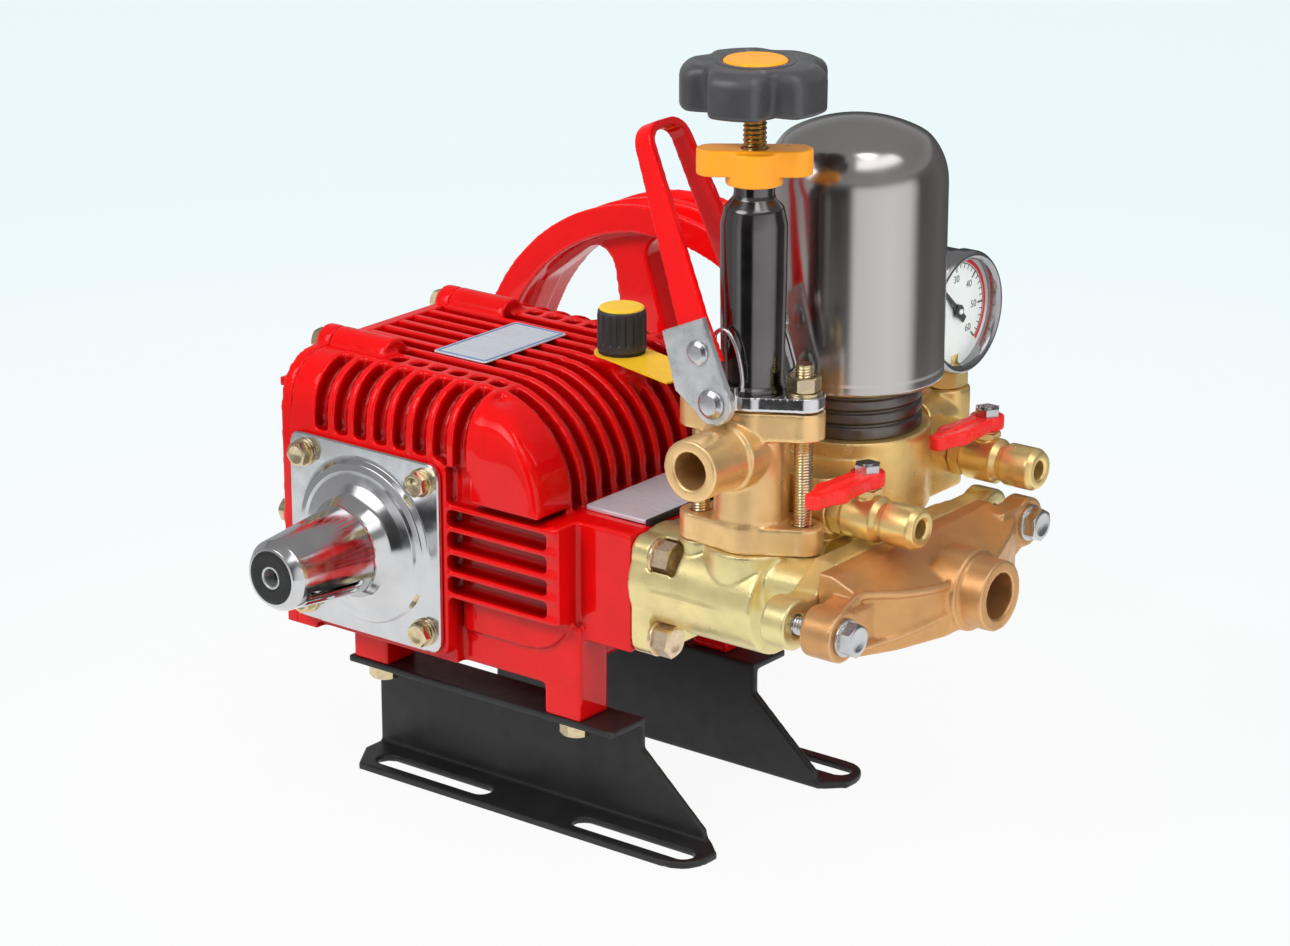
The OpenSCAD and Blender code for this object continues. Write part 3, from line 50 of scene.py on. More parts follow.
# Places in millimetres that several pieces share
CRANK = (-80.0, 0.0, 116.0)
REG = (107.0, -41.0)
REG_TURN = radians(12)
CHAMBER = (107.0, 32.5)
GAUGE = (102.0, 216.5)
FILLER = (-11.0, 20.5)
COCKS = ((-16.5, 160.0), (74.5, 162.0))
COCK_X = 134.0
COCK_STEM_X = 149.0
PIVOT = (104.5, -41.0, 213.0)
LEAN = radians(24)
SUCTION_EARS = ((-73.0, 129.5, 178.0), (73.0, 138.0, 173.0))


# Materials

def socket(node, name, value):
    node.inputs[name].default_value = value


def ramp_of(tree, stops):
    node = tree.nodes.new("ShaderNodeValToRGB")
    ramp = node.color_ramp
    while len(ramp.elements) < len(stops):
        ramp.elements.new(0.5)
    for element, (place, colour) in zip(ramp.elements, stops):
        element.position = place
        element.color = (*colour, 1)
    return node


def noise_of(tree, coords, scale, detail=4.0, rough=0.55):
    node = tree.nodes.new("ShaderNodeTexNoise")
    socket(node, "Scale", scale)
    socket(node, "Detail", detail)
    socket(node, "Roughness", rough)
    tree.links.new(coords, node.inputs["Vector"])
    return node


def span_of(tree, source, low, high, to=(0.0, 1.0), smooth=False):
    """A value carried from one range to another, and held at its ends."""
    node = tree.nodes.new("ShaderNodeMapRange")
    if smooth:
        node.interpolation_type = "SMOOTHSTEP"
    for name, value in (("From Min", low), ("From Max", high), ("To Min", to[0]), ("To Max", to[1])):
        socket(node, name, value)
    tree.links.new(source, node.inputs["Value"])
    return node.outputs["Result"]


def maths(tree, operation, *values):
    """One sum on sockets or plain numbers."""
    node = tree.nodes.new("ShaderNodeMath")
    node.operation = operation
    for entry, value in zip(node.inputs, values):
        if isinstance(value, float):
            entry.default_value = value
        else:
            tree.links.new(value, entry)
    return node.outputs[0]


def mixed(tree, share, base, shade):
    """The base colour, which goes over to a plain shade as the share rises."""
    node = tree.nodes.new("ShaderNodeMix")
    node.data_type = "RGBA"
    tree.links.new(share, node.inputs[0])
    tree.links.new(base, node.inputs[6])
    node.inputs[7].default_value = (*shade, 1)
    return node.outputs[2]


def scaled(colour, k):
    return tuple(max(0.0, min(1.0, c * k)) for c in colour)


# Where noise is read, where a lighter edge (wear, and painted highlight) or a darker hollow (dirt, and painted shade)
# starts to show, and how the painted shade in creases is found
NOISE_LOW, NOISE_HIGH = 0.3, 0.7
EDGE_WEAR_AND_HIGHLIGHT_SPAN, HOLLOW_DIRT_AND_SHADE_SPAN = (0.52, 0.6), (0.47, 0.38)
CREASE_SHADE_REACH, CREASE_SHADE_SPAN, CREASE_SHADE_SAMPLES = 0.016, (0.8, 0.2), 8
LEAST_ROUGH = 0.02


def material(name, colour, metal=0.0, rough=0.35, mottle=0.1, patch=70.0, stops=None, rough_var=0.08,
             rough_scale=160.0, bump=0.1, bump_scale=700.0, depth=0.0002, coat=0.0, coat_rough=0.08,
             edge=None, hollow_dirt_and_shade=None, crease_shade=None, stretch=None, spec=0.5, aniso=0.0):
    """A painted, cast or turned finish: mottled colour, uneven gloss, fine relief, edges lightened for wear and as
    painted highlight, hollows darkened for dirt and as painted shade, and painted shade in creases.
    """
    mat = bpy.data.materials.new(name)
    mat.use_nodes = True
    tree = mat.node_tree
    bsdf = tree.nodes["Principled BSDF"]
    coords = tree.nodes.new("ShaderNodeTexCoord").outputs["Object"]
    if stretch:
        mapping = tree.nodes.new("ShaderNodeMapping")
        socket(mapping, "Scale", stretch)
        tree.links.new(coords, mapping.inputs["Vector"])
        coords = mapping.outputs["Vector"]
    tint = ramp_of(tree, stops or ((NOISE_LOW, scaled(colour, 1 - mottle)), (NOISE_HIGH, scaled(colour, 1 + mottle))))
    tree.links.new(noise_of(tree, coords, patch).outputs["Fac"], tint.inputs["Fac"])
    colour_out = tint.outputs["Color"]
    # Lighter edges are partly wear and partly painted highlight; darker hollows are partly dirt and partly painted
    # shade.
    if edge or hollow_dirt_and_shade:
        point = tree.nodes.new("ShaderNodeNewGeometry").outputs["Pointiness"]
        for place, shade in ((EDGE_WEAR_AND_HIGHLIGHT_SPAN, edge), (HOLLOW_DIRT_AND_SHADE_SPAN, hollow_dirt_and_shade)):
            if shade:
                colour_out = mixed(tree, span_of(tree, point, *place), colour_out, shade)
    # Painted shade: the colour goes darker where the object's own surfaces close in round a point, as shade falls in
    # creases and gaps.
    if crease_shade:
        near = tree.nodes.new("ShaderNodeAmbientOcclusion")
        near.samples = CREASE_SHADE_SAMPLES
        near.only_local = True
        socket(near, "Distance", CREASE_SHADE_REACH)
        colour_out = mixed(tree, span_of(tree, near.outputs["AO"], *CREASE_SHADE_SPAN), colour_out, crease_shade)
    tree.links.new(colour_out, bsdf.inputs["Base Color"])
    gloss = span_of(tree, noise_of(tree, coords, rough_scale).outputs["Fac"], NOISE_LOW, NOISE_HIGH,
                    (max(LEAST_ROUGH, rough - rough_var), rough + rough_var))
    tree.links.new(gloss, bsdf.inputs["Roughness"])
    relief = tree.nodes.new("ShaderNodeBump")
    socket(relief, "Strength", bump)
    socket(relief, "Distance", depth)
    tree.links.new(noise_of(tree, coords, bump_scale, 3.0).outputs["Fac"], relief.inputs["Height"])
    tree.links.new(relief.outputs["Normal"], bsdf.inputs["Normal"])
    socket(bsdf, "Metallic", metal)
    socket(bsdf, "Coat Weight", coat)
    socket(bsdf, "Coat Roughness", coat_rough)
    socket(bsdf, "Specular IOR Level", spec)
    if aniso:
        around = tree.nodes.new("ShaderNodeTangent")
        around.direction_type = "RADIAL"
        around.axis = "Z"
        tree.links.new(around.outputs["Tangent"], bsdf.inputs["Tangent"])
        socket(bsdf, "Anisotropic", aniso)
        socket(bsdf, "Anisotropic Rotation", 0.25)
    return mat


# The red's darker hollows and creases are painted shade, deepening its gaps and recesses.
RED = material("red_enamel", (0.68, 0.0015, 0.002), rough=0.36, mottle=0.06, bump=0.06, bump_scale=420, depth=0.0003,
               coat=0.68, coat_rough=0.05, hollow_dirt_and_shade=(0.2, 0.0, 0.001), crease_shade=(0.14, 0.0, 0.0), rough_var=0.05,
               spec=0.02)
RED_GLOSS = material("red_gloss", (0.8, 0.003, 0.004), rough=0.3, mottle=0.05, bump=0.05, coat=0.68, coat_rough=0.05,
                     spec=0.02)
# Its lighter edges are a painted highlight.
BLACK = material("black_enamel", (0.013, 0.013, 0.014), rough=0.42, mottle=0.25, bump=0.15, bump_scale=500,
                 coat=0.1, coat_rough=0.3, edge=(0.05, 0.05, 0.052), spec=0.35)
ZINC_YELLOW = material("yellow_zinc", (0.6, 0.45, 0.2), metal=1.0, rough=0.24, patch=260, bump=0.05,
                       stops=((0.25, (0.62, 0.42, 0.16)), (0.45, (0.74, 0.64, 0.38)), (0.6, (0.66, 0.5, 0.36)),
                              (0.78, (0.56, 0.56, 0.34))))
ZINC_ROSE = material("rose_zinc", (0.74, 0.54, 0.36), metal=0.9, rough=0.3, patch=240, bump=0.05,
                     stops=((0.25, (0.72, 0.48, 0.27)), (0.5, (0.86, 0.68, 0.48)), (0.75, (0.78, 0.6, 0.34))))
STEEL = material("bright_steel", (0.62, 0.62, 0.63), metal=1.0, rough=0.25, mottle=0.08, bump=0.06)
DARK_STEEL = material("dark_steel", (0.17, 0.155, 0.145), metal=1.0, rough=0.36, mottle=0.2, bump=0.15)
STAINLESS = material("stainless", (0.55, 0.525, 0.505), metal=1.0, rough=0.19, mottle=0.05, rough_var=0.04,
                     patch=14, stretch=(1, 1, 0.15), rough_scale=60, bump=0.02, bump_scale=300, aniso=0.3)
CHROME = material("chrome", (0.74, 0.74, 0.75), metal=1.0, rough=0.09, mottle=0.04, rough_var=0.04, bump=0.03)
GAUGE_METAL = material("gauge_metal", (0.42, 0.42, 0.43), metal=1.0, rough=0.17, mottle=0.06, rough_var=0.05,
                       bump=0.03)
# Painted reflection: chrome with its colour turned far down, so it shows dark as if mirroring dark surroundings.
CHROME_PAINTED_DARK = material("chrome_painted_dark", (0.16, 0.15, 0.15), metal=1.0, rough=0.13, mottle=0.08, rough_var=0.05,
                       bump=0.03)
GUARD = material("polished_zinc", (0.66, 0.66, 0.67), metal=1.0, rough=0.16, mottle=0.06, rough_var=0.07,
                 bump=0.06, bump_scale=300)
ZINC = material("grey_zinc", (0.64, 0.65, 0.66), metal=0.8, rough=0.32, mottle=0.14, patch=160, bump=0.15)
# The castings' lighter edges are wear; their darker hollows are dirt and painted shade.
BRASS_CAST = material("cast_brass", (0.84, 0.71, 0.34), metal=0.84, rough=0.34, mottle=0.12, patch=55, bump=0.3,
                      bump_scale=1400, depth=0.0003, edge=(0.92, 0.8, 0.48), hollow_dirt_and_shade=(0.4, 0.29, 0.1))
BRONZE = material("sand_bronze", (0.68, 0.36, 0.145), metal=0.8, rough=0.38, mottle=0.1, patch=60, bump=0.35,
                  bump_scale=1500, depth=0.00025, edge=(0.98, 0.74, 0.46), hollow_dirt_and_shade=(0.3, 0.13, 0.04))
BRONZE_REG = material("regulator_bronze", (0.94, 0.61, 0.28), metal=0.84, rough=0.34, mottle=0.1, patch=60,
                      bump=0.25, bump_scale=1400, depth=0.00025, edge=(0.95, 0.72, 0.44), hollow_dirt_and_shade=(0.42, 0.22, 0.08))
BRONZE_BLOCK = material("block_bronze", (0.88, 0.6, 0.23), metal=0.84, rough=0.34, mottle=0.12, patch=60,
                        bump=0.3, bump_scale=1400, depth=0.0003, edge=(0.92, 0.7, 0.36), hollow_dirt_and_shade=(0.4, 0.22, 0.06))
BRASS = material("turned_brass", (0.97, 0.7, 0.29), metal=0.86, rough=0.32, mottle=0.07, rough_var=0.05, bump=0.08)
SCREW_BRASS = material("screw_brass", (0.55, 0.36, 0.13), metal=1.0, rough=0.28, mottle=0.12, bump=0.1)
RUBBER = material("black_rubber", (0.014, 0.014, 0.014), rough=0.6, mottle=0.2, bump=0.3)
# Its lighter edges are a painted highlight.
PLASTIC = material("black_plastic", (0.028, 0.028, 0.031), rough=0.42, mottle=0.12, bump=0.35, bump_scale=1500,
                   depth=0.0001, edge=(0.06, 0.06, 0.065))
# Its lighter edges are a painted highlight.
KNOB = material("knob_plastic", (0.05, 0.049, 0.052), rough=0.32, mottle=0.1, bump=0.3, bump_scale=1500,
                depth=0.0001, edge=(0.11, 0.11, 0.115))
ORANGE = material("orange_plastic", (0.98, 0.35, 0.012), rough=0.34, mottle=0.06, bump=0.15, bump_scale=900)
YELLOW = material("yellow_plastic", (0.9, 0.53, 0.02), rough=0.36, mottle=0.05, bump=0.12, bump_scale=900)
RED_PLASTIC = material("red_plastic", (0.84, 0.014, 0.01), rough=0.32, mottle=0.07, bump=0.12, bump_scale=900)
PLATE = material("plate_metal", (0.72, 0.77, 0.84), metal=0.5, rough=0.34, mottle=0.06, stretch=(1, 14, 1), bump=0.05)
PLATE_BORDER = material("plate_border", (0.16, 0.26, 0.5), metal=0.3, rough=0.34, mottle=0.1)
DIAL = material("dial_white", (0.86, 0.86, 0.84), rough=0.4, mottle=0.02, bump=0.03)
INK = material("dial_ink", (0.02, 0.02, 0.022), rough=0.5, mottle=0.2)
ARC_GREEN = material("dial_green", (0.5, 0.62, 0.05), rough=0.45, mottle=0.06)
ARC_RED = material("dial_red", (0.75, 0.03, 0.03), rough=0.45, mottle=0.06)
NEEDLE = material("needle_black", (0.015, 0.015, 0.016), rough=0.4, mottle=0.2)
FIBRE = material("packing_fibre", (0.05, 0.048, 0.04), rough=0.7, mottle=0.3, patch=300, bump=0.5)
CERAMIC = material("plunger_ceramic", (0.82, 0.81, 0.78), rough=0.16, mottle=0.03, coat=0.4)
OIL_GLASS = material("sight_glass", (0.8, 0.66, 0.3), rough=0.12, mottle=0.06, coat=0.6, coat_rough=0.03)


def clear_glass():
    mat = bpy.data.materials.new("clear_glass")
    mat.use_nodes = True
    tree = mat.node_tree
    bsdf = tree.nodes["Principled BSDF"]
    coords = tree.nodes.new("ShaderNodeTexCoord").outputs["Object"]
    tint = ramp_of(tree, ((NOISE_LOW, (0.97, 0.985, 0.98)), (NOISE_HIGH, (1.0, 1.0, 1.0))))
    tree.links.new(noise_of(tree, coords, 90).outputs["Fac"], tint.inputs["Fac"])
    tree.links.new(tint.outputs["Color"], bsdf.inputs["Base Color"])
    socket(bsdf, "Transmission Weight", 1.0)
    socket(bsdf, "IOR", 1.06)
    socket(bsdf, "Roughness", 0.02)
    return mat


GLASS = clear_glass()


# Mesh building, in millimetres

class Shape:
    def __init__(self):
        self.v, self.f = [], []

    def add(self, part, at=(0, 0, 0), axis=UP, turn=0.0):
        swing = Vector(UP).rotation_difference(Vector(axis)).to_matrix() @ Matrix.Rotation(turn, 3, "Z")
        base = len(self.v)
        self.v += [swing @ Vector(p) + Vector(at) for p in part.v]
        self.f += [[i + base for i in f] for f in part.f]
        return self

    def moved(self, matrix):
        self.v = [matrix @ Vector(p) for p in self.v]
        return self


def stood(part, place):
    """A part that is drawn round the Z axis, stood at a place in X and Y."""
    return Shape().add(part, at=(*place, 0))


def loft(rows, closed=False):
    """Joins rows of points into a skin. A row of one point closes the skin there."""
    s = Shape()
    index = []
    for row in rows:
        index.append(range(len(s.v), len(s.v) + len(row)))
        s.v += [Vector(p) for p in row]
    pairs = list(zip(index, index[1:]))
    if closed:
        pairs.append((index[-1], index[0]))
    for a, b in pairs:
        count = max(len(a), len(b))
        for j in range(count):
            k = (j + 1) % count
            if len(a) == 1:
                s.f.append([a[0], b[k], b[j]])
            elif len(b) == 1:
                s.f.append([a[j], a[k], b[0]])
            else:
                s.f.append([a[j], a[k], b[k], b[j]])
    return s


def circle_row(r, z, seg):
    if r < 1e-6:
        return [(0, 0, z)]
    return [(r * cos(2 * pi * j / seg), r * sin(2 * pi * j / seg), z) for j in range(seg)]


def rounded(points, steps=5):
    """Profile points (r, z, fillet) with each fillet drawn as an arc."""
    out = []
    for i, p in enumerate(points):
        r = p[2] if len(p) > 2 else 0
        if r <= 0 or i in (0, len(points) - 1):
            out.append(p[:2])
            continue
        b = Vector(p[:2])
        u = Vector(points[i - 1][:2]) - b
        w = Vector(points[i + 1][:2]) - b
        reach = 0.49 * min(u.length, w.length)
        u.normalize()
        w.normalize()
        half = acos(max(-1, min(1, u.dot(w)))) / 2
        run = min(r / tan(half), reach)
        r = run * tan(half)
        centre = b + (u + w).normalized() * (r / sin(half))
        first, last = b + u * run - centre, b + w * run - centre
        a0 = atan2(first.y, first.x)
        sweep = (atan2(last.y, last.x) - a0 + pi) % (2 * pi) - pi
        for k in range(steps + 1):
            a = a0 + sweep * k / steps
            out.append((centre.x + r * cos(a), centre.y + r * sin(a)))
    return out


def turned(points, seg=72, steps=5):
    return loft([circle_row(r, z, seg) for r, z in rounded(points, steps)])


def ring(r0, r1, z0, z1, fillet=0.4, seg=64):
    return turned([(r0, (z0 + z1) / 2), (r0, z1, fillet), (r1, z1, fillet), (r1, z0, fillet), (r0, z0, fillet),
                   (r0, (z0 + z1) / 2)], seg, 3)


def hexed(across, height, hole=0.0, both=False, seg=72, dish=0.0):
    """A hex with its corners turned off at the top, and below too if both."""
    flat = across / 2 * 0.95
    slope = tan(radians(30))

    def reach(j):
        a = (2 * pi * j / seg + pi / 6) % (pi / 3) - pi / 6
        return across / 2 / cos(a)

    def row(radius, z):
        return [(radius(j) * cos(2 * pi * j / seg), radius(j) * sin(2 * pi * j / seg), z(j)) for j in range(seg)]

    rows = []
    if both:
        rows += [row(lambda j: max(hole, 0.5), lambda j: 0.0), row(lambda j: flat, lambda j: 0.0),
                 row(reach, lambda j: (reach(j) - flat) * slope)]
    else:
        rows += [row(lambda j: max(hole, 0.5), lambda j: 0.0), row(reach, lambda j: 0.0)]
    rows += [row(reach, lambda j: height - (reach(j) - flat) * slope), row(lambda j: flat, lambda j: height)]
    if hole:
        rows += [row(lambda j: hole + 0.5, lambda j: height), row(lambda j: hole, lambda j: height - 0.5)]
        return loft(rows, closed=True)
    rows += [row(lambda j: flat * 0.72, lambda j: height), row(lambda j: flat * 0.6, lambda j: height - dish)]
    top = loft(rows)
    rim = len(top.v) - seg
    top.f.append(list(range(rim, rim + seg)))
    top.f.append(list(range(seg - 1, -1, -1)))
    return top


def threaded(r, pitch, z0, z1, depth=0.5, seg=40, per_turn=8):
    """A screw thread: the radius rises and falls along a helix."""
    rows = [[(0, 0, z0)]]
    count = int((z1 - z0) / pitch * per_turn)
    for i in range(count + 1):
        z = z0 + (z1 - z0) * i / count
        row = []
        for j in range(seg):
            phase = (z / pitch - j / seg) % 1
            cut = depth * abs(2 * phase - 1)
            ease = min(1.0, (z1 - z) / pitch)
            rad = r - cut * ease - (1 - ease) * depth
            row.append((rad * cos(2 * pi * j / seg), rad * sin(2 * pi * j / seg), z))
        rows.append(row)
    rows.append([(0, 0, z1)])
    return loft(rows)


BOLT_CORE, WASHER_HEIGHT, COLLAR_HEIGHT = 2.6, 1.6, 0.5


def hex_bolt(across=13.0, head=5.5, washer=8.0, turn=0.0):
    """A washer, the collar below the head, and the head."""
    low, high, collar = WASHER_HEIGHT, WASHER_HEIGHT + COLLAR_HEIGHT, across / 2 + 0.1
    s = Shape()
    s.add(ring(BOLT_CORE, washer, 0, low, 0.35))
    s.add(turned([(BOLT_CORE, low), (collar, low), (collar, high, 0.2), (BOLT_CORE, high)]))
    s.add(hexed(across, head, dish=0.35), at=(0, 0, low), turn=turn)
    return s


END_BULGE = 0.6


def tube(path, r, seg=12):
    """A round bar along points, with a blunt point at each end."""
    pts = [Vector(p) for p in path]
    rows = []
    side = None
    for i, p in enumerate(pts):
        ahead = (pts[min(i + 1, len(pts) - 1)] - pts[max(i - 1, 0)]).normalized()
        if side is None:
            side = ahead.orthogonal().normalized()
            rows.append([p - ahead * r * END_BULGE])
        side = (side - ahead * side.dot(ahead)).normalized()
        other = ahead.cross(side)
        rows.append([p + (side * cos(2 * pi * j / seg) + other * sin(2 * pi * j / seg)) * r for j in range(seg)])
    rows.append([pts[-1] + ahead * r * END_BULGE])
    return loft(rows)


def smooth_path(points, steps=6):
    """Points on a curve through the given points."""
    p = [Vector(points[0])] + [Vector(q) for q in points] + [Vector(points[-1])]
    out = []
    for i in range(1, len(p) - 2):
        for k in range(steps):
            t = k / steps
            out.append(0.5 * (2 * p[i] + (p[i + 1] - p[i - 1]) * t
                              + (2 * p[i - 1] - 5 * p[i] + 4 * p[i + 1] - p[i + 2]) * t * t
                              + (3 * p[i] - p[i - 1] - 3 * p[i + 1] + p[i + 2]) * t ** 3))
    out.append(p[-1])
    return out


def prism(outline, z0, z1, bevel=0.4):
    """An outline in X and Y with its upper and lower edges eased."""
    centre = Vector((sum(p[0] for p in outline) / len(outline), sum(p[1] for p in outline) / len(outline)))
    pts = [Vector(p) for p in outline]
    count = len(pts)
    shrunk = []
    for i, p in enumerate(pts):
        d = pts[(i + 1) % count] - pts[i - 1]
        n = Vector((d.y, -d.x)).normalized()
        shrunk.append(p - n * bevel)
    rows = [[(*q, z0) for q in shrunk], [(*q, z0 + bevel) for q in pts], [(*q, z1 - bevel) for q in pts],
            [(*q, z1) for q in shrunk]]
    rows = [[centre.to_tuple() + (z0,)]] + rows + [[centre.to_tuple() + (z1,)]]
    return loft(rows)


def round_rect(w, h, r, steps=6):
    out = []
    for cx, cy, a0 in ((w / 2 - r, h / 2 - r, 0), (r - w / 2, h / 2 - r, pi / 2), (r - w / 2, r - h / 2, pi),
                       (w / 2 - r, r - h / 2, 3 * pi / 2)):
        out += [(cx + r * cos(a0 + pi / 2 * k / steps), cy + r * sin(a0 + pi / 2 * k / steps))
                for k in range(steps + 1)]
    return out


def piece(name, shape, mat, body, replaces=(), angle=35.0):
    mesh = bpy.data.meshes.new(name)
    mesh.from_pydata([Vector(p) * MM for p in shape.v], [], shape.f)
    bm = bmesh.new()
    bm.from_mesh(mesh)
    bmesh.ops.remove_doubles(bm, verts=bm.verts, dist=1e-7)
    bmesh.ops.recalc_face_normals(bm, faces=bm.faces)
    bm.to_mesh(mesh)
    bm.free()
    for f in mesh.polygons:
        f.use_smooth = True
    mesh.set_sharp_from_angle(angle=radians(angle))
    return settle(bpy.data.objects.new(name, mesh), mat, body, replaces)


def settle(obj, mat, body, replaces=()):
    if obj.name not in scene.collection.objects:
        scene.collection.objects.link(obj)
    obj.data.materials.clear()
    obj.data.materials.append(mat)
    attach(obj, body)
    if replaces:
        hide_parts(*replaces)
    return obj


WEAR_ROUNDS = 60


def solid_form(obj):
    """The object's mesh as its modifiers leave it."""
    return bpy.data.meshes.new_from_object(obj.evaluated_get(bpy.context.evaluated_depsgraph_get()))


def wear(mesh, inside):
    """Rounds the corners a long way off where inside(x, y, z), in millimetres, holds."""
    bm = bmesh.new()
    bm.from_mesh(mesh)
    chosen = [v for v in bm.verts if inside(*(v.co / MM))]
    for _ in range(WEAR_ROUNDS):
        bmesh.ops.smooth_vert(bm, verts=chosen, factor=0.5, use_axis_x=True, use_axis_y=True, use_axis_z=True)
    bm.to_mesh(mesh)
    bm.free()


def cast(node, voxel, rounds, mat, body="pump", ratio=0.4, extra=None, worn=None):
    """The node's own solid with its edges and corners worn round, as a casting or a bent sheet has them."""
    mesh = nodes[node].data.copy()
    mesh.materials.clear()
    bm = bmesh.new()
    bm.from_mesh(mesh)
    bmesh.ops.remove_doubles(bm, verts=bm.verts, dist=2e-6)
    if extra:
        base = [bm.verts.new(Vector(p) * MM) for p in extra.v]
        for f in extra.f:
            bm.faces.new([base[i] for i in f])
        bmesh.ops.recalc_face_normals(bm, faces=bm.faces)
    bm.to_mesh(mesh)
    bm.free()
    obj = bpy.data.objects.new(node + "_form", mesh)
    scene.collection.objects.link(obj)
    voxels = obj.modifiers.new("voxels", "REMESH")
    voxels.mode = "VOXEL"
    voxels.voxel_size = voxel * MM
    voxels.use_smooth_shade = True
    soft = obj.modifiers.new("soft", "SMOOTH")
    soft.factor = 0.5
    soft.iterations = rounds
    if worn:
        obj.data = solid_form(obj)
        obj.modifiers.clear()
        wear(obj.data, worn)
    thin = obj.modifiers.new("thin", "DECIMATE")
    thin.ratio = ratio
    final = solid_form(obj)
    obj.modifiers.clear()
    obj.data = final
    for f in final.polygons:
        f.use_smooth = True
    return settle(obj, mat, body, (node,))


def carry(node, mat):
    """A CAD node that stays as it is, with a finish."""
    obj = nodes[node]
    obj.data.materials.clear()
    obj.data.materials.append(mat)
    for f in obj.data.polygons:
        f.use_smooth = True
    obj.data.set_sharp_from_angle(angle=radians(30))


# Castings

def on_shoulder(x, y, z):
    return x > -17 and abs(y) > 57 and z > 147


cast("crankcase", 1.0, 5, RED, ratio=0.35, worn=on_shoulder)
cast("rear_cover", 1.0, 5, RED, ratio=0.35)
cast("far_bearing_cover", 0.8, 5, RED)
cast("pulley", 1.0, 5, RED_GLOSS, body="crank")
cast("near_foot", 0.7, 5, BLACK, ratio=0.2)
cast("far_foot", 0.7, 5, BLACK, ratio=0.2)

parting = Shape()
parting.add(tube([(70, -62.3, 121), (84, -62.5, 121.4), (100, -62.4, 121), (112, -61.6, 121)], 0.8))
cast("manifold", 0.8, 5, BRASS_CAST, extra=parting)

beads = Shape()
beads.add(tube(smooth_path([(176.4, -79, 137.4), (175.6, -70, 139.6), (175.2, -59, 142.4), (178.6, -51, 141.8),
                            (183.0, -42, 140.4), (187.2, -27, 138.6), (189.8, -15, 137.8)]), 1.7))
beads.add(tube(smooth_path([(177.6, -64, 121.5), (180, -49, 121), (183.4, -41, 122), (187.4, -26, 124),
                            (189.8, -14, 126)]), 1.5))
cast("suction_cover", 0.7, 6, BRONZE, extra=beads)
cast("discharge_block", 0.8, 6, BRONZE_BLOCK)
cast("regulator_body", 0.7, 5, BRONZE_REG)


# Bolts, studs and nuts

COVER_BOLT = (10.0, 4.2, 6.4)
REAR_BOLTS = ((41, 191), (66, 116), (41, 71), (-41, 191), (-66, 116), (-41, 71))
REAR_FACE, GUARD_FACE, FAR_FACE = -133, -78, 83
GUARD_BOLT, FAR_BOLT = 35, 25
M8_RADIUS, M8_PITCH = 4, 1.25
BOLT_ROWS = (-53.5, 53.5)
FOOT_BOLT_X, FOOT_BOLT_Z = (-91, 21.7), 48.8
FLANGE_FACE, FLANGE_BOLT = 67, 18.5
MANIFOLD_FRONT = 144.5
STUD_REACH, STUD_FOOT, STUD_TOP = 23.5, 135.2, 228
PLATE_TOP, STUD_WASHER, STUD_HOLE = 215, 1.5, 4.1
SHAFT_HOLE, PULLEY_FACE, PULLEY_WASHER = 7.1, 160, 2
KEY_Y, KEY_LIFT = 137, 8.1

covers = Shape()
for i, (y, z) in enumerate(REAR_BOLTS):
    covers.add(hex_bolt(*COVER_BOLT, turn=0.3 * i), at=(REAR_FACE, y, z), axis=(-1, 0, 0))
for i, (x, z) in enumerate(((-1, -1), (1, -1), (-1, 1), (1, 1))):
    covers.add(hex_bolt(*COVER_BOLT, turn=0.37 * i), axis=(0, -1, 0),
               at=(CRANK[0] + GUARD_BOLT * x, GUARD_FACE, CRANK[2] + GUARD_BOLT * z))
    covers.add(hex_bolt(*COVER_BOLT, turn=0.21 * i), axis=(0, 1, 0),
               at=(CRANK[0] + FAR_BOLT * x, FAR_FACE, CRANK[2] + FAR_BOLT * z))
piece("cover_bolt_heads", covers, ZINC_YELLOW, "pump", ("cover_bolts",))

feet = Shape()
flange = Shape()
for y in BOLT_ROWS:
    for x in FOOT_BOLT_X:
        feet.add(hex_bolt(turn=0.4), at=(x, y, FOOT_BOLT_Z), axis=(0, 0, -1))
    for z in (-FLANGE_BOLT, FLANGE_BOLT):
        flange.add(hex_bolt(head=8.0, turn=0.25), at=(FLANGE_FACE, y, CRANK[2] + z), axis=(1, 0, 0))
piece("foot_bolt_heads", feet, ZINC_YELLOW, "pump", ("foot_bolts",))
piece("manifold_bolt_heads", flange, ZINC_ROSE, "pump", ("manifold_bolts",))

suction = Shape()
for y, z, x in SUCTION_EARS:
    suction.add(hex_bolt(turn=0.5), at=(x, y, z), axis=(1, 0, 0))
    suction.add(threaded(M8_RADIUS, M8_PITCH, 0, x - MANIFOLD_FRONT), at=(MANIFOLD_FRONT, y, z), axis=(1, 0, 0))
piece("suction_bolt_set", suction, STEEL, "pump", ("suction_cover_bolts",))

studs = Shape()
for s in (-1, 1):
    at = (REG[0] + s * STUD_REACH * cos(REG_TURN), REG[1] + s * STUD_REACH * sin(REG_TURN), 0)
    studs.add(threaded(M8_RADIUS, M8_PITCH, STUD_FOOT, STUD_TOP), at=at)
    studs.add(ring(STUD_HOLE, 7.5, PLATE_TOP, PLATE_TOP + STUD_WASHER, 0.3), at=at)
    studs.add(hexed(12.5, 6.5, hole=STUD_HOLE, both=True), at=(at[0], at[1], PLATE_TOP + STUD_WASHER), turn=0.2 * s)
piece("regulator_stud_set", studs, ZINC_YELLOW, "pump", ("regulator_studs",))

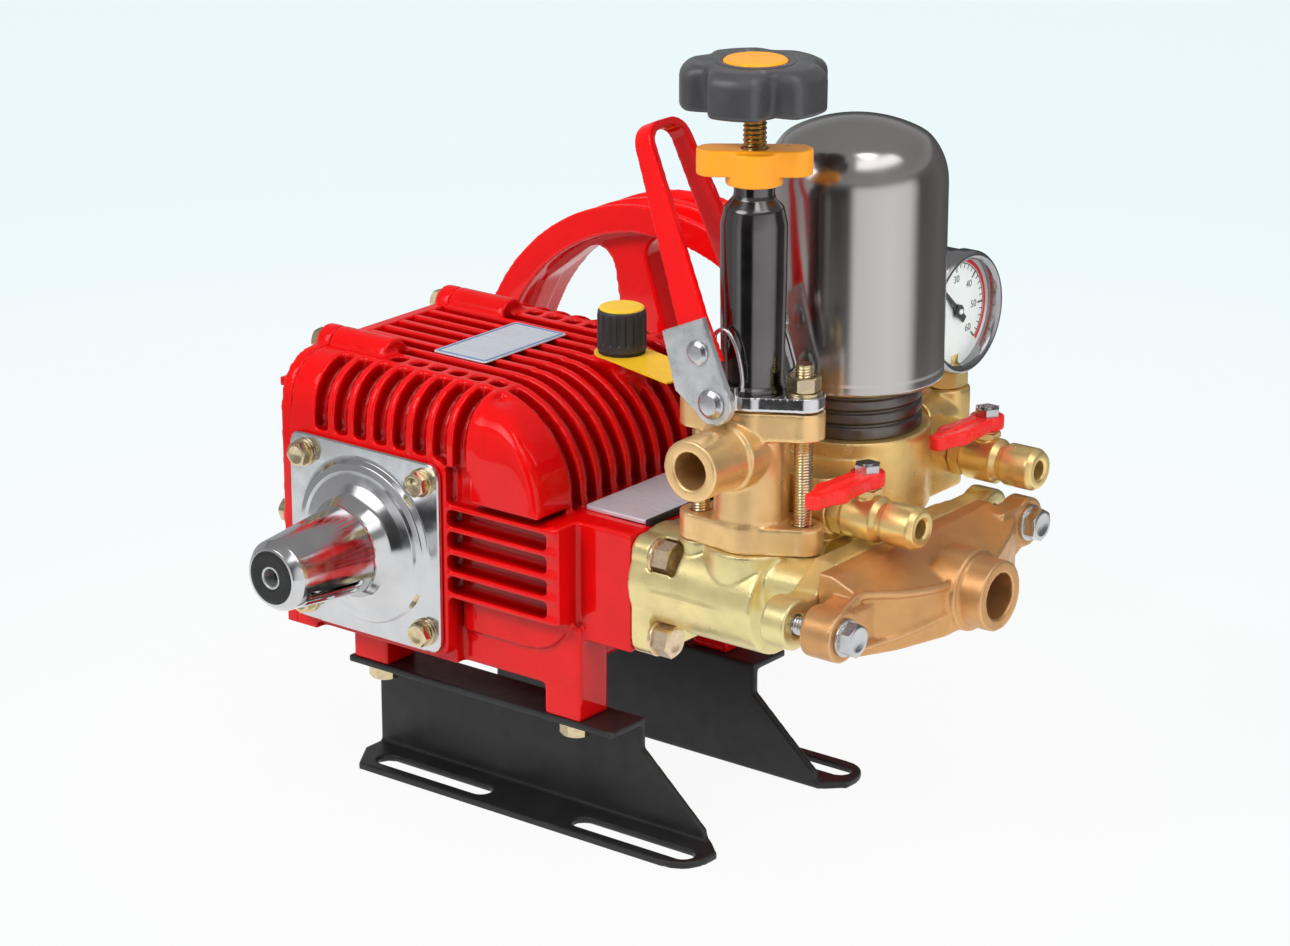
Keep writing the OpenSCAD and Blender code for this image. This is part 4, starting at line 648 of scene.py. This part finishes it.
nut = Shape()
nut.add(ring(SHAFT_HOLE, 15, 0, PULLEY_WASHER, 0.4), at=(CRANK[0], PULLEY_FACE, CRANK[2]), axis=(0, 1, 0))
nut.add(hexed(22, 8, hole=SHAFT_HOLE, both=True), at=(CRANK[0], PULLEY_FACE + PULLEY_WASHER, CRANK[2]), axis=(0, 1, 0))
nut.add(prism(round_rect(5.8, 29.8, 0.8, 3), 0, 5.8), at=(CRANK[0], KEY_Y, CRANK[2] + KEY_LIFT))
piece("pulley_nut_set", nut, STEEL, "crank", ("pulley_fixings",))


# Shaft guard: a square plate that flows into a ring step and a tapered nose

SLOT_TURN, SLOT_RUN, SLOT_WALLS = radians(-38), (26, 54), (1.0, 4.2)
GUARD_BACK, GUARD_TIP, GUARD_SHEET = -75, -138.45, 1.8


def guard():
    seg = 144
    half, corner = 44.0, 6.0

    def square(j, inset):
        a = 2 * pi * j / seg
        c, s = cos(a), sin(a)
        k = (half - inset) / max(abs(c), abs(s))
        x, y = c * k, s * k
        limit = half - corner
        if abs(x) > limit and abs(y) > limit:
            cx, cy = limit * (1 if x > 0 else -1), limit * (1 if y > 0 else -1)
            along = c * cx + s * cy
            k = along + sqrt(max(0, along * along - cx * cx - cy * cy + (corner - inset) ** 2))
            x, y = c * k, s * k
        return x, y

    rows = [[(*square(j, 0.4), 0.2) for j in range(seg)], [(*square(j, 0), 0.7) for j in range(seg)],
            [(*square(j, 0), 2.4) for j in range(seg)], [(*square(j, 0.6), 3.0) for j in range(seg)]]
    profile = rounded([(40, 3.0), (38, 3.0, 0.8), (36.5, 5.4, 1.2), (33.6, 6.2, 1.0), (31.5, 6.2, 1.2),
                       (28, 8.2, 2.5), (23.4, 11.5, 5.0), (20.2, 18, 8.0), (16.1, 59.5, 2.2), (13.2, 63.2, 1.0),
                       (5.6, 63.4)], 4)
    dense = []
    for (r0, z0), (r1, z1) in zip(profile, profile[1:]):
        parts = max(1, int(hypot(r1 - r0, z1 - z0) / 2.5))
        dense += [(r0 + (r1 - r0) * k / parts, z0 + (z1 - z0) * k / parts) for k in range(parts)]
    dense.append(profile[-1])
    rows += [circle_row(r, z, seg) for r, z in dense]
    s = loft(rows)

    def in_slot(f):
        c = sum((s.v[i] for i in f), Vector()) / len(f)
        along = c.x * cos(SLOT_TURN) + c.y * sin(SLOT_TURN)
        across = -c.x * sin(SLOT_TURN) + c.y * cos(SLOT_TURN)
        return SLOT_RUN[0] < c.z < SLOT_RUN[1] and along > 0 and SLOT_WALLS[0] < abs(across) < SLOT_WALLS[1]

    s.f = [f for f in s.f if not in_slot(f)]
    return s


swing = Matrix.Translation((CRANK[0], GUARD_BACK, CRANK[2])) @ Matrix.Rotation(radians(90), 4, "X")
guard_obj = piece("shaft_guard_shell", guard().moved(swing), GUARD, "pump", ("shaft_guard",))
thick = guard_obj.modifiers.new("sheet", "SOLIDIFY")
thick.thickness = GUARD_SHEET * MM
thick.offset = -1
tip = {"at": (CRANK[0], GUARD_TIP, CRANK[2]), "axis": (0, -1, 0)}
plug = turned([(5.2, -8), (5.2, -0.2, 0.3), (6.2, 0.2, 0.3), (10.2, 0.5, 0.9), (12.6, -0.4, 0.8), (12.6, -1.4, 0.3),
               (6.0, -1.4), (6.0, -8), (5.2, -8)], 64, 4)
piece("guard_grommet", Shape().add(plug, **tip), RUBBER, "pump")
bead = turned([(4.1, -7), (4.1, -0.1, 0.4), (4.7, 0.35, 0.4), (5.2, 0.1, 0.3), (5.2, -7), (4.1, -7)], 64, 4)
piece("guard_grommet_ring", Shape().add(bead, **tip), ZINC, "pump")


# Turned pieces of the regulator

housing = turned([(0, 215), (14.2, 215, 0.4), (14.2, 216.6, 0.6), (13.2, 218.2, 1.2), (13.9, 262, 20), (14, 285, 5),
                  (12.4, 292.5, 4), (9.0, 296.4, 1.6), (8.5, 298, 1.0), (8.5, 302, 0.5), (5.5, 302)], 96, 6)
piece("spring_housing_tube", stood(housing, REG), CHROME_PAINTED_DARK, "pump", ("spring_housing",))
screw = threaded(5, 2.0, 274, 350, 0.7)
piece("adjusting_screw_thread", stood(screw, REG), SCREW_BRASS, "regulator_screw", ("adjusting_screw",))
cap = turned([(0, 351), (13.3, 351), (13.4, 353.4, 0.8), (12.2, 354.2, 0.5), (11.2, 353.9, 0.4), (6, 354.3, 3),
              (0, 354.45)], 96)
piece("knob_cap_disc", stood(cap, REG), ORANGE, "regulator_screw", ("knob_cap",))
collar = turned([(13.6, 351.4), (13.7, 353.4, 0.4), (16.4, 353.3, 0.8), (17.4, 352.4, 0.6), (17.5, 351.4)], 96)
piece("knob_collar", stood(collar, REG), KNOB, "regulator_screw")
KNOB_SEG, KNOB_REACH, KNOB_FLAT, KNOB_LOW, KNOB_HIGH = 200, 31, 18, 334, 353
NOTCHES, NOTCH_TURN, NOTCH_HALF, NOTCH_DEEP, NOTCH_SHALLOW = 5, radians(-36.5), radians(20), 8.6, 5.0


def knob_row(r, z):
    """A ring of the knob, with finger notches that are deeper below than above."""
    share = max(0.0, (r - KNOB_FLAT) / (KNOB_REACH - KNOB_FLAT))
    deep = share * (NOTCH_DEEP + (NOTCH_SHALLOW - NOTCH_DEEP) * (z - KNOB_LOW) / (KNOB_HIGH - KNOB_LOW))
    row = []
    for j in range(KNOB_SEG):
        a = 2 * pi * j / KNOB_SEG
        step = 2 * pi / NOTCHES
        off = abs((a - NOTCH_TURN + step / 2) % step - step / 2)
        near = r - deep * (0.5 + 0.5 * cos(pi * min(1.0, off / NOTCH_HALF)))
        row.append((near * cos(a), near * sin(a), z))
    return row


knob_profile = [(5.4, 330.2), (9.6, 330.2, 0.6), (10, KNOB_LOW + 0.3, 1.2), (KNOB_REACH, KNOB_LOW, 2.4),
                (KNOB_REACH, KNOB_HIGH, 6.0), (17.4, KNOB_HIGH, 1.0), (13.7, 352.6), (13.7, 351.2)]
knob = loft([knob_row(r, z) for r, z in rounded(knob_profile)])
piece("adjusting_knob_form", stood(knob, REG), KNOB, "regulator_screw", ("adjusting_knob",), angle=50)
cast("lock_nut", 0.5, 14, ORANGE, "lock_nut")
cast("regulator_flange_plate", 0.5, 5, CHROME)

SPRING_LOW, SPRING_RISE, SPRING_TURNS, SPRING_MEAN, SPRING_WIRE = 216.55, 50.9, 7, 8.8, 1.2
TURN_STEPS = 24
coil = [(REG[0] + SPRING_MEAN * cos(2 * pi * k / TURN_STEPS), REG[1] + SPRING_MEAN * sin(2 * pi * k / TURN_STEPS),
         SPRING_LOW + SPRING_RISE * k / (TURN_STEPS * SPRING_TURNS)) for k in range(TURN_STEPS * SPRING_TURNS + 1)]
spring = piece("regulator_coil", tube(coil, SPRING_WIRE, 10), STEEL, "pump", ("regulator_spring",))
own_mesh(spring)


# Lever

cast("lever_bail", 0.55, 6, RED_GLOSS, "lever")
cast("lever_cheeks", 0.5, 4, ZINC, "lever")
lever_frame = Matrix.Translation(PIVOT) @ Matrix.Rotation(-LEAN, 4, "Y")
PIN_BESIDE = (2, 0, 22)
pivot_pin = turned([(0, 14.5), (4, 14.5), (4, 25.2), (6.5, 25.2, 0.3), (6.3, 26.3, 0.8), (4.2, 27.7, 1.5), (0, 28)], 48)
bail_pin = turned([(0, 14.3), (3.4, 14.3, 0.6), (3.4, 25.2), (5.4, 25.2, 0.3), (5.2, 26.2, 0.6), (3.4, 27.3, 1.0),
                   (0, 27.5)], 48)
pins = Shape()
for s in (-1, 1):
    pins.add(pivot_pin, axis=(0, s, 0))
    pins.add(bail_pin, at=PIN_BESIDE, axis=(0, s, 0))
piece("lever_pin_heads", pins.moved(lever_frame), STEEL, "lever", ("lever_pins",))

WIRE, WIRE_Y = 0.9, 16.4
NEAR_WIRE = ((5, 23), (6.5, 26.5), (10, 27.8), (13.6, 26), (15, 19), (14, 11), (12.4, 5), (11, 2.5))
FAR_WIRE = ((16.2, 21.5), (16.2, 15), (15.6, 8), (14.6, 2.6), (11, 1.5))
near_clip = tube(smooth_path([(x, -WIRE_Y, z) for x, z in NEAR_WIRE]), WIRE)
piece("lever_wire_near", near_clip.moved(lever_frame), STEEL, "lever")
far_clip = tube(smooth_path([(x, WIRE_Y, z) for x, z in FAR_WIRE]), WIRE)
far_clip.add(turned([(0, -2.8), (2.8, -2.8, 2.7), (2.8, 2.8, 2.7), (0, 2.8)], 32, 8), at=(16.2, WIRE_Y, 23.2))
piece("lever_wire_far", far_clip.moved(lever_frame), STEEL, "lever")


# Air chamber

CHAMBER_WALL, SHOULDER, SHOULDER_Z, CROWN, CHAMBER_TOP = 39.0, 28, 289, 62, 317.0
DOME_STEPS, DOME_SMOOTHINGS, CHAMBER_SEG = 40, 3, 144


def chamber_radius(z):
    """The round shoulder or the flatter crown, whichever is nearer the axis."""
    shoulder = CHAMBER_WALL - SHOULDER + sqrt(max(0.0, SHOULDER ** 2 - (z - SHOULDER_Z) ** 2))
    crown = sqrt(max(0.0, CROWN ** 2 - (z - CHAMBER_TOP + CROWN) ** 2))
    return min(shoulder, crown)


dome_heights = [SHOULDER_Z + SHOULDER * sin(pi / 2 * k / DOME_STEPS) for k in range(DOME_STEPS)]
dome = [(chamber_radius(z), z) for z in dome_heights] + [(0.0, CHAMBER_TOP)]
for _ in range(DOME_SMOOTHINGS):
    dome = [dome[0]] + [((a[0] + 2 * b[0] + c[0]) / 4, (a[1] + 2 * b[1] + c[1]) / 4)
                        for a, b, c in zip(dome, dome[1:], dome[2:])] + [dome[-1]]
shell = rounded([(22.2, 203.2), (37.2, 203, 0.8), (CHAMBER_WALL, 204.6, 1.4), (38.9, 208, 0.6),
                 (CHAMBER_WALL, 209.5, 0.6), (CHAMBER_WALL, 260), (CHAMBER_WALL, SHOULDER_Z - 1)])
tank = loft([circle_row(r, z, CHAMBER_SEG) for r, z in shell + dome])
piece("air_chamber_shell", stood(tank, CHAMBER), STAINLESS, "pump", ("air_chamber",), 60)
neck = turned([(10, 182.1), (30, 182.1, 0.6), (30, 187, 1.0), (28.6, 188, 0.6), (29.8, 189.6, 0.8), (29.8, 193, 0.8),
               (28.6, 194, 0.6), (29.8, 195.6, 0.8), (29.8, 199, 0.8), (28.6, 200, 0.6), (29.4, 201, 0.5),
               (29.4, 202.9), (10, 202.9)], 96)
piece("chamber_neck_thread", stood(neck, CHAMBER), DARK_STEEL, "pump", ("chamber_neck",))


# Gauge

GAUGE_STEM = (109, GAUGE[0])
DIAL_FACE, MARK_FOOT, MARK_LIFT, ARC_LIFT, NUMBER_LIFT = 113, 0.01, 0.1, 0.08, 0.06
DIAL_START, DIAL_SWEEP = radians(225), radians(-270)
DIAL_END = DIAL_START + DIAL_SWEEP
MARK_OUT, LONG_MARK, SHORT_MARK, MARKS, MARKS_A_NUMBER = 21.2, 17.5, 19.2, 30, 5
ARC_IN, ARC_OUT, GREEN_END, RED_START = 22.0, 23.8, 0.55, 0.56
NUMBER_RING, NUMBER_SIZE, NUMBER_THICK, NUMBER_STEP = 14.2, 4.6, 0.04, 10
FACING_FRONT = Matrix(((0, 0, 1), (1, 0, 0), (0, 1, 0))).to_4x4()

case = turned([(0, 99), (25, 99, 1.0), (27.2, 101, 1.6), (27.2, 112, 0.5), (28, 112.8, 0.5), (28, 118.6, 1.6),
               (26.4, 121, 1.4), (24.6, 119.6, 0.6), (24, 118.8), (25.9, 118.6), (25.9, 101), (0, 101)], 96)
case_form = Shape().add(case, at=(0, *GAUGE), axis=(1, 0, 0))
piece("gauge_case_bezel", case_form, GAUGE_METAL, "pump", ("gauge_case",))
stem = stood(threaded(6, 1.5, 170.6, 181.4), GAUGE_STEM)
stem.add(hexed(17, 8, both=True, dish=0), at=(*GAUGE_STEM, 181.5))
stem.add(turned([(0, 188), (6, 188), (6, 191, 0.8), (5, 192, 0.5), (5, 196), (0, 196)], 40), at=(*GAUGE_STEM, 0))
piece("gauge_stem", stem, BRASS, "pump")


def dial_mark(r0, r1, a0, a1, lift):
    """A raised sector of the dial between two angles, measured up from +Y seen from the front."""
    count = max(1, int(abs(a1 - a0) / 0.08))
    turns = [a0 + (a1 - a0) * k / count for k in range(count + 1)]
    s = Shape()
    for x in (DIAL_FACE + lift, DIAL_FACE + MARK_FOOT):
        for r in (r0, r1):
            s.v += [Vector((x, GAUGE[0] + r * cos(a), GAUGE[1] + r * sin(a))) for a in turns]
    n = count + 1
    for k in range(count):
        s.f += [[k, k + 1, n + k + 1, n + k], [2 * n + k, 3 * n + k, 3 * n + k + 1, 2 * n + k + 1],
                [k, 2 * n + k, 2 * n + k + 1, k + 1], [n + k, n + k + 1, 3 * n + k + 1, 3 * n + k]]
    s.f += [[0, n, 3 * n, 2 * n], [count, 2 * n + count, 3 * n + count, n + count]]
    return s


marks = Shape()
for k in range(MARKS + 1):
    a = DIAL_START + DIAL_SWEEP * k / MARKS
    inner, wide = (LONG_MARK, 0.022) if k % MARKS_A_NUMBER == 0 else (SHORT_MARK, 0.011)
    marks.add(dial_mark(inner, MARK_OUT, a - wide, a + wide, MARK_LIFT))
marks.add(dial_mark(MARK_OUT, 21.6, DIAL_START, DIAL_END, MARK_LIFT))
piece("gauge_marks", marks, INK, "pump")
green = dial_mark(ARC_IN, ARC_OUT, DIAL_START, DIAL_START + DIAL_SWEEP * GREEN_END, ARC_LIFT)
piece("gauge_arc_green", green, ARC_GREEN, "pump")
red = dial_mark(ARC_IN, ARC_OUT, DIAL_START + DIAL_SWEEP * RED_START, DIAL_END, ARC_LIFT)
piece("gauge_arc_red", red, ARC_RED, "pump")
numbers = MARKS // MARKS_A_NUMBER
for k in range(numbers + 1):
    a = DIAL_START + DIAL_SWEEP * k / numbers
    words = bpy.data.curves.new("gauge_number", "FONT")
    words.body = str(NUMBER_STEP * k)
    words.size = NUMBER_SIZE * MM
    words.align_x = "CENTER"
    words.align_y = "CENTER"
    words.extrude = NUMBER_THICK * MM
    number = bpy.data.objects.new("gauge_number_source", words)
    scene.collection.objects.link(number)
    place = Vector((DIAL_FACE + NUMBER_LIFT, GAUGE[0] + NUMBER_RING * cos(a), GAUGE[1] + NUMBER_RING * sin(a)))
    number.matrix_world = Matrix.Translation(place * MM) @ FACING_FRONT
    bpy.context.view_layer.update()
    flat = solid_form(number)
    flat.transform(number.matrix_world)
    bpy.data.objects.remove(number)
    settle(bpy.data.objects.new("gauge_number_%d" % k, flat), INK, "pump")


# Outlet cocks

COCK_BORE, STEM_BORE = 4.2, 3.7
barrel = turned([(COCK_BORE, 5.8), (8.4, 5.8), (9.2, 6.4, 0.4), (10, 8, 1.4), (10, 22, 1.8), (8.2, 24.4, 0.6),
                 (8.2, 26.6, 0.6), (9.4, 27.6, 0.9), (9.4, 40.4, 2.2), (7.8, 43, 0.9), (5.2, 43, 0.4),
                 (COCK_BORE, 42), (COCK_BORE, 5.8)], 72, 4)
stem_boss = turned([(0, 0), (5.6, 0), (5.6, 9.4, 0.5), (5.0, 10, 0.3), (5.0, 13.2, 0.4), (STEM_BORE, 13.4),
                    (STEM_BORE, 8)], 48)
cock_set = Shape()
for y, z in COCKS:
    cock_set.add(hexed(17, 6, both=True, hole=COCK_BORE), at=(COCK_X, y, z), axis=(1, 0, 0))
    cock_set.add(barrel, at=(COCK_X, y, z), axis=(1, 0, 0))
    cock_set.add(stem_boss, at=(COCK_STEM_X, y, z))
    cock_set.add(hexed(11, 3, hole=STEM_BORE, both=True), at=(COCK_STEM_X, y, z + 9.8))
piece("cock_body_pair", cock_set, BRASS, "pump", ("cock_bodies",))
HANDLE_RIB, RIB_RADIUS = ((-10, 18.8), (-24, 19.2), (-36, 18.4)), 2.0
for name, (y, z) in zip(("near", "far"), COCKS):
    rib = tube([(COCK_STEM_X, y + out, z + lift) for out, lift in HANDLE_RIB], RIB_RADIUS)
    cast(name + "_cock_handle", 0.45, 12, RED_PLASTIC, name + "_cock", extra=rib)
    carry(name + "_cock_stem", STEEL)


# Plates and the oil filler

NAME_PLATE = (-64, -1)
NAME_TOP = 193.8
BORDER_ROWS = ((29, 56, 1.4, -0.1), (29, 56, 1.4, 0.1), (26.4, 53.4, 0.8, 0.1), (26.4, 53.4, 0.8, -0.1))
plate = prism(round_rect(31, 58, 2), 193, NAME_TOP, 0.25)
piece("name_plate_sheet", stood(plate, NAME_PLATE), PLATE, "pump", ("name_plate",))
border = loft([[(*p, NAME_TOP + lift) for p in round_rect(w, h, r)] for w, h, r, lift in BORDER_ROWS], closed=True)
piece("name_plate_border", stood(border, NAME_PLATE), PLATE_BORDER, "pump")
gland = prism(round_rect(34, 90, 2), 143.5, 145.5, 0.4)
piece("gland_plate_sheet", stood(gland, (37, 0)), PLATE, "pump", ("gland_cover_plate",))
# A thin black strip at the plate's edge by the manifold: a dark sheet that paints the shade in the gap there.
gap_shade_strip = prism(round_rect(2.4, 92, 0.6), 143.6, 146.2, 0.3)
piece("gland_plate_gap_shade", stood(gap_shade_strip, (55.4, 0)), RUBBER, "pump")


CAP_LOW, CAP_HIGH, CAP_RADIUS, CAP_SEG = 195.4, 214.6, 11.2, 144
FLUTES, FLUTE_DEEP, FLUTE_SHAPE = 18, 0.8, 0.6


def fluted():
    """The grip of the oil cap: rings with a height, an inset and a share of the flutes' depth."""
    rows = [[(0, 0, CAP_LOW)]]
    for z, inset, grip in ((CAP_LOW, 0.5, 0), (CAP_LOW + 0.5, 0, 0), (CAP_LOW + 3.2, 0, 0), (CAP_LOW + 4.2, 0.1, 1),
                           (CAP_HIGH - 3.4, 0.1, 1), (CAP_HIGH - 2.6, 0.2, 0.6), (CAP_HIGH - 1.2, 0.4, 0),
                           (CAP_HIGH - 0.4, 0.9, 0), (CAP_HIGH, 1.6, 0)):
        row = []
        for j in range(CAP_SEG):
            a = 2 * pi * j / CAP_SEG
            r = CAP_RADIUS - inset - grip * FLUTE_DEEP * max(0.0, cos(FLUTES * a)) ** FLUTE_SHAPE
            row.append((r * cos(a), r * sin(a), z))
        rows.append(row)
    rows.append([(0, 0, CAP_HIGH)])
    return loft(rows)


filler = stood(fluted(), FILLER)
filler.add(threaded(7.9, 3.0, 183.5, CAP_LOW, 0.9), at=(*FILLER, 0))
piece("oil_cap_grip", filler, PLASTIC, "filler_cap", ("oil_cap",))
lid = turned([(0, 213.4), (10.2, 213.4), (10.3, 214.7, 0.5), (9.2, 215.3, 0.5), (0, 215.4)], 72)
piece("oil_cap_lid", stood(lid, FILLER), YELLOW, "filler_cap")


# CAD nodes that stay as they are

for node, mat in (("crank_bearings", STEEL), ("shaft_oil_seal", RUBBER), ("packing_sets", FIBRE),
                  ("packing_glands", BRASS), ("pump_valves", STEEL), ("crankshaft", STEEL), ("spring_seat", STEEL),
                  ("gauge_dial", DIAL), ("gauge_needle", NEEDLE), ("gauge_lens", GLASS),
                  ("oil_sight_glass", OIL_GLASS), ("filler_tag", YELLOW), ("oil_cap_seal", RUBBER)):
    carry(node, mat)
for k in (1, 2, 3):
    carry("big_end_bush_%d" % k, BRASS)
    carry("connecting_rod_%d" % k, DARK_STEEL)
    carry("plunger_%d" % k, CERAMIC)


# Floor, reflection cards, world, lights and camera, in metres

FLOOR_HALF, FLOOR_Z = 30, -0.0002
FLOOR_FADE, FLOOR_GLOW = (0.22, 1.1), 0.93
NEAR_WHITE, FAR_CYAN, FLOOR_GREY = (1.0, 1.0, 1.0), (0.86, 0.975, 1.0), (0.5, 0.51, 0.51, 1)
CARD_X, CARD_RADIUS, CARD_FOOT, CARD_FADE, CARD_TOP, CARD_SEG = 0.03, 0.62, 0.001, 0.34, 0.46, 180
CARD_REST = 0.16
# The cards' brightness by the turn in degrees, as a studio sets dark and bright cards round polished metal
CARDS = ((-180, 0.4), (-128, 0.3), (-114, 0.45), (-104, 0.4), (-98, 0.75), (-91, 0.7), (-85, 0.05), (-54, 0.04),
         (-47, 0.8), (-8, 0.95), (14, 0.85), (26, 0.1), (60, 0.16), (118, 0.05), (135, 0.4), (180, 0.4))
SKY_LOW, SKY_PALE = -0.2, (0.9, 0.985, 0.99)
SKY = ((0.0, SKY_PALE), (0.26, SKY_PALE), (0.4, (0.34, 0.35, 0.36)), (0.6, (0.27, 0.27, 0.275)),
       (1.0, (0.3, 0.295, 0.295)))
STRIP_EDGE = 7


def stage_mesh(name, verts, faces, mat):
    mesh = bpy.data.meshes.new(name)
    mesh.from_pydata(verts, [], faces)
    mesh.materials.append(mat)
    obj = bpy.data.objects.new(name, mesh)
    scene.collection.objects.link(obj)
    return obj


def empty_material(name):
    mat = bpy.data.materials.new(name)
    mat.use_nodes = True
    mat.node_tree.nodes.clear()
    return mat, mat.node_tree


def glow_of(tree, colour):
    node = tree.nodes.new("ShaderNodeEmission")
    tree.links.new(colour, node.inputs["Color"])
    return node.outputs["Emission"]


def surface(tree, shader):
    tree.links.new(shader, tree.nodes.new("ShaderNodeOutputMaterial").inputs["Surface"])


def parts_of(tree, coords):
    node = tree.nodes.new("ShaderNodeSeparateXYZ")
    tree.links.new(coords, node.inputs["Vector"])
    return node.outputs


def background_rays(tree):
    """One for rays from the camera, a mirror or glass, and nought for the rest."""
    rays = tree.nodes.new("ShaderNodeLightPath").outputs
    seen = maths(tree, "MAXIMUM", rays["Is Camera Ray"], rays["Is Glossy Ray"])
    return maths(tree, "MAXIMUM", seen, rays["Is Transmission Ray"])


def pale_floor():
    """White round the object and pale cyan far off, with the object's shadow left on it."""
    mat, tree = empty_material("pale_floor")
    length = tree.nodes.new("ShaderNodeVectorMath")
    length.operation = "LENGTH"
    tree.links.new(tree.nodes.new("ShaderNodeTexCoord").outputs["Object"], length.inputs[0])
    pale = ramp_of(tree, ((0.0, NEAR_WHITE), (1.0, FAR_CYAN)))
    tree.links.new(span_of(tree, length.outputs["Value"], *FLOOR_FADE), pale.inputs["Fac"])
    lit = tree.nodes.new("ShaderNodeBsdfDiffuse")
    socket(lit, "Color", FLOOR_GREY)
    blend = tree.nodes.new("ShaderNodeMixShader")
    tree.links.new(maths(tree, "MULTIPLY", background_rays(tree), FLOOR_GLOW), blend.inputs["Fac"])
    tree.links.new(lit.outputs["BSDF"], blend.inputs[1])
    tree.links.new(glow_of(tree, pale.outputs["Color"]), blend.inputs[2])
    surface(tree, blend.outputs["Shader"])
    return mat


def grey(v):
    return (v, v, v * 1.02)


def card_finish():
    """Cards all round in one ring, which fade to an even grey at the top."""
    mat, tree = empty_material("reflection_card")
    parts = parts_of(tree, tree.nodes.new("ShaderNodeTexCoord").outputs["Object"])
    turn = span_of(tree, maths(tree, "ARCTAN2", parts["Y"], parts["X"]), -pi, pi)
    shades = ramp_of(tree, [((degrees + 180) / 360, grey(v)) for degrees, v in CARDS])
    tree.links.new(turn, shades.inputs["Fac"])
    rise = span_of(tree, parts["Z"], CARD_FADE, CARD_TOP, smooth=True)
    surface(tree, glow_of(tree, mixed(tree, rise, shades.outputs["Color"], grey(CARD_REST))))
    return mat


floor_corners = [(x * FLOOR_HALF, y * FLOOR_HALF, FLOOR_Z) for x, y in ((-1, -1), (1, -1), (1, 1), (-1, 1))]
stage_mesh("floor", floor_corners, [(0, 1, 2, 3)], pale_floor())

card_verts = [(CARD_X + CARD_RADIUS * cos(2 * pi * j / CARD_SEG), CARD_RADIUS * sin(2 * pi * j / CARD_SEG), z)
              for z in (CARD_FOOT, CARD_TOP) for j in range(CARD_SEG)]
card_faces = [(j, (j + 1) % CARD_SEG, CARD_SEG + (j + 1) % CARD_SEG, CARD_SEG + j) for j in range(CARD_SEG)]
cards = stage_mesh("reflection_cards", card_verts, card_faces, card_finish())
cards.visible_camera = False
cards.visible_diffuse = False
cards.visible_transmission = False
cards.visible_shadow = False
cards.visible_volume_scatter = False


def soft_box(tree, coords, direction, inner, outer, level):
    """Brightness of a soft-edged light in the sky, between two angles from its middle."""
    toward = tree.nodes.new("ShaderNodeVectorMath")
    toward.operation = "DOT_PRODUCT"
    toward.inputs[1].default_value = Vector(direction).normalized()
    tree.links.new(coords, toward.inputs[0])
    return span_of(tree, toward.outputs["Value"], cos(radians(outer)), cos(radians(inner)), (0.0, level), smooth=True)


def strip(tree, coords, turns, heights, level):
    """Brightness of a long light in the sky, between two turns in degrees and two heights, with soft edges."""
    parts = parts_of(tree, coords)
    angle = maths(tree, "ARCTAN2", parts["Y"], parts["X"])
    result = level
    for source, (low, high), edge in ((angle, [radians(a) for a in turns], radians(STRIP_EDGE)),
                                      (parts["Z"], heights, sin(radians(STRIP_EDGE)))):
        for start, end in ((low, low + edge), (high, high - edge)):
            result = maths(tree, "MULTIPLY", span_of(tree, source, start, end, smooth=True), result)
    return result


def studio():
    """A sky that is pale low down and grey above, with two soft boxes and a strip light in it."""
    world = bpy.data.worlds.new("studio")
    world.use_nodes = True
    tree = world.node_tree
    back = tree.nodes["Background"]
    coords = tree.nodes.new("ShaderNodeTexCoord").outputs["Generated"]
    sky = ramp_of(tree, SKY)
    tree.links.new(span_of(tree, parts_of(tree, coords)["Z"], SKY_LOW, 1.0), sky.inputs["Fac"])
    tree.links.new(sky.outputs["Color"], back.inputs["Color"])
    strength = 1.0
    for box in (soft_box(tree, coords, (-0.3, -0.8, 0.6), 9, 25, 11.0),
                soft_box(tree, coords, (0.3, -0.15, 0.94), 5, 12, 10.0),
                strip(tree, coords, (-60, 28), (0.6, 0.93), 5.0)):
        strength = maths(tree, "ADD", strength, box)
    tree.links.new(strength, back.inputs["Strength"])
    return world


scene.world = studio()


def lamp(name, place, target, size, power):
    data = bpy.data.lights.new(name, "AREA")
    data.shape = "RECTANGLE"
    data.size, data.size_y = size
    data.energy = power
    obj = bpy.data.objects.new(name, data)
    scene.collection.objects.link(obj)
    obj.location = place
    obj.rotation_mode = "QUATERNION"
    obj.rotation_quaternion = (Vector(target) - Vector(place)).to_track_quat("-Z", "Y")
    obj.visible_camera = False
    obj.visible_glossy = False


MIDDLE = (0.02, 0.0, 0.15)
lamp("key", (-0.35, -1.5, 1.5), MIDDLE, (0.5, 0.5), 17)
lamp("fill", (1.6, -0.2, 0.9), MIDDLE, (0.8, 1.0), 14)
lamp("top", (0.0, 0.35, 1.7), MIDDLE, (0.8, 0.6), 5)
lamp("back", (-1.1, 1.2, 1.1), MIDDLE, (0.8, 0.8), 6)

# The photograph's place and direction of view, worked out from straight edges and round ends in it
CAMERA_PLACE, TOWARD_CAMERA = (1.00245, -1.25999, 0.68286), (0.5838, -0.7473, 0.3173)
SENSOR_WIDTH, LENS = 36, 106.05
camera = bpy.data.objects.new("camera", bpy.data.cameras.new("camera"))
scene.collection.objects.link(camera)
camera.data.sensor_fit = "HORIZONTAL"
camera.data.sensor_width = SENSOR_WIDTH
camera.data.lens = LENS
camera.location = CAMERA_PLACE
camera.rotation_mode = "QUATERNION"
camera.rotation_quaternion = (-Vector(TOWARD_CAMERA)).to_track_quat("-Z", "Y")
camera.data.clip_start, camera.data.clip_end = 0.01, 200
scene.camera = camera
scene.view_settings.view_transform = "Standard"
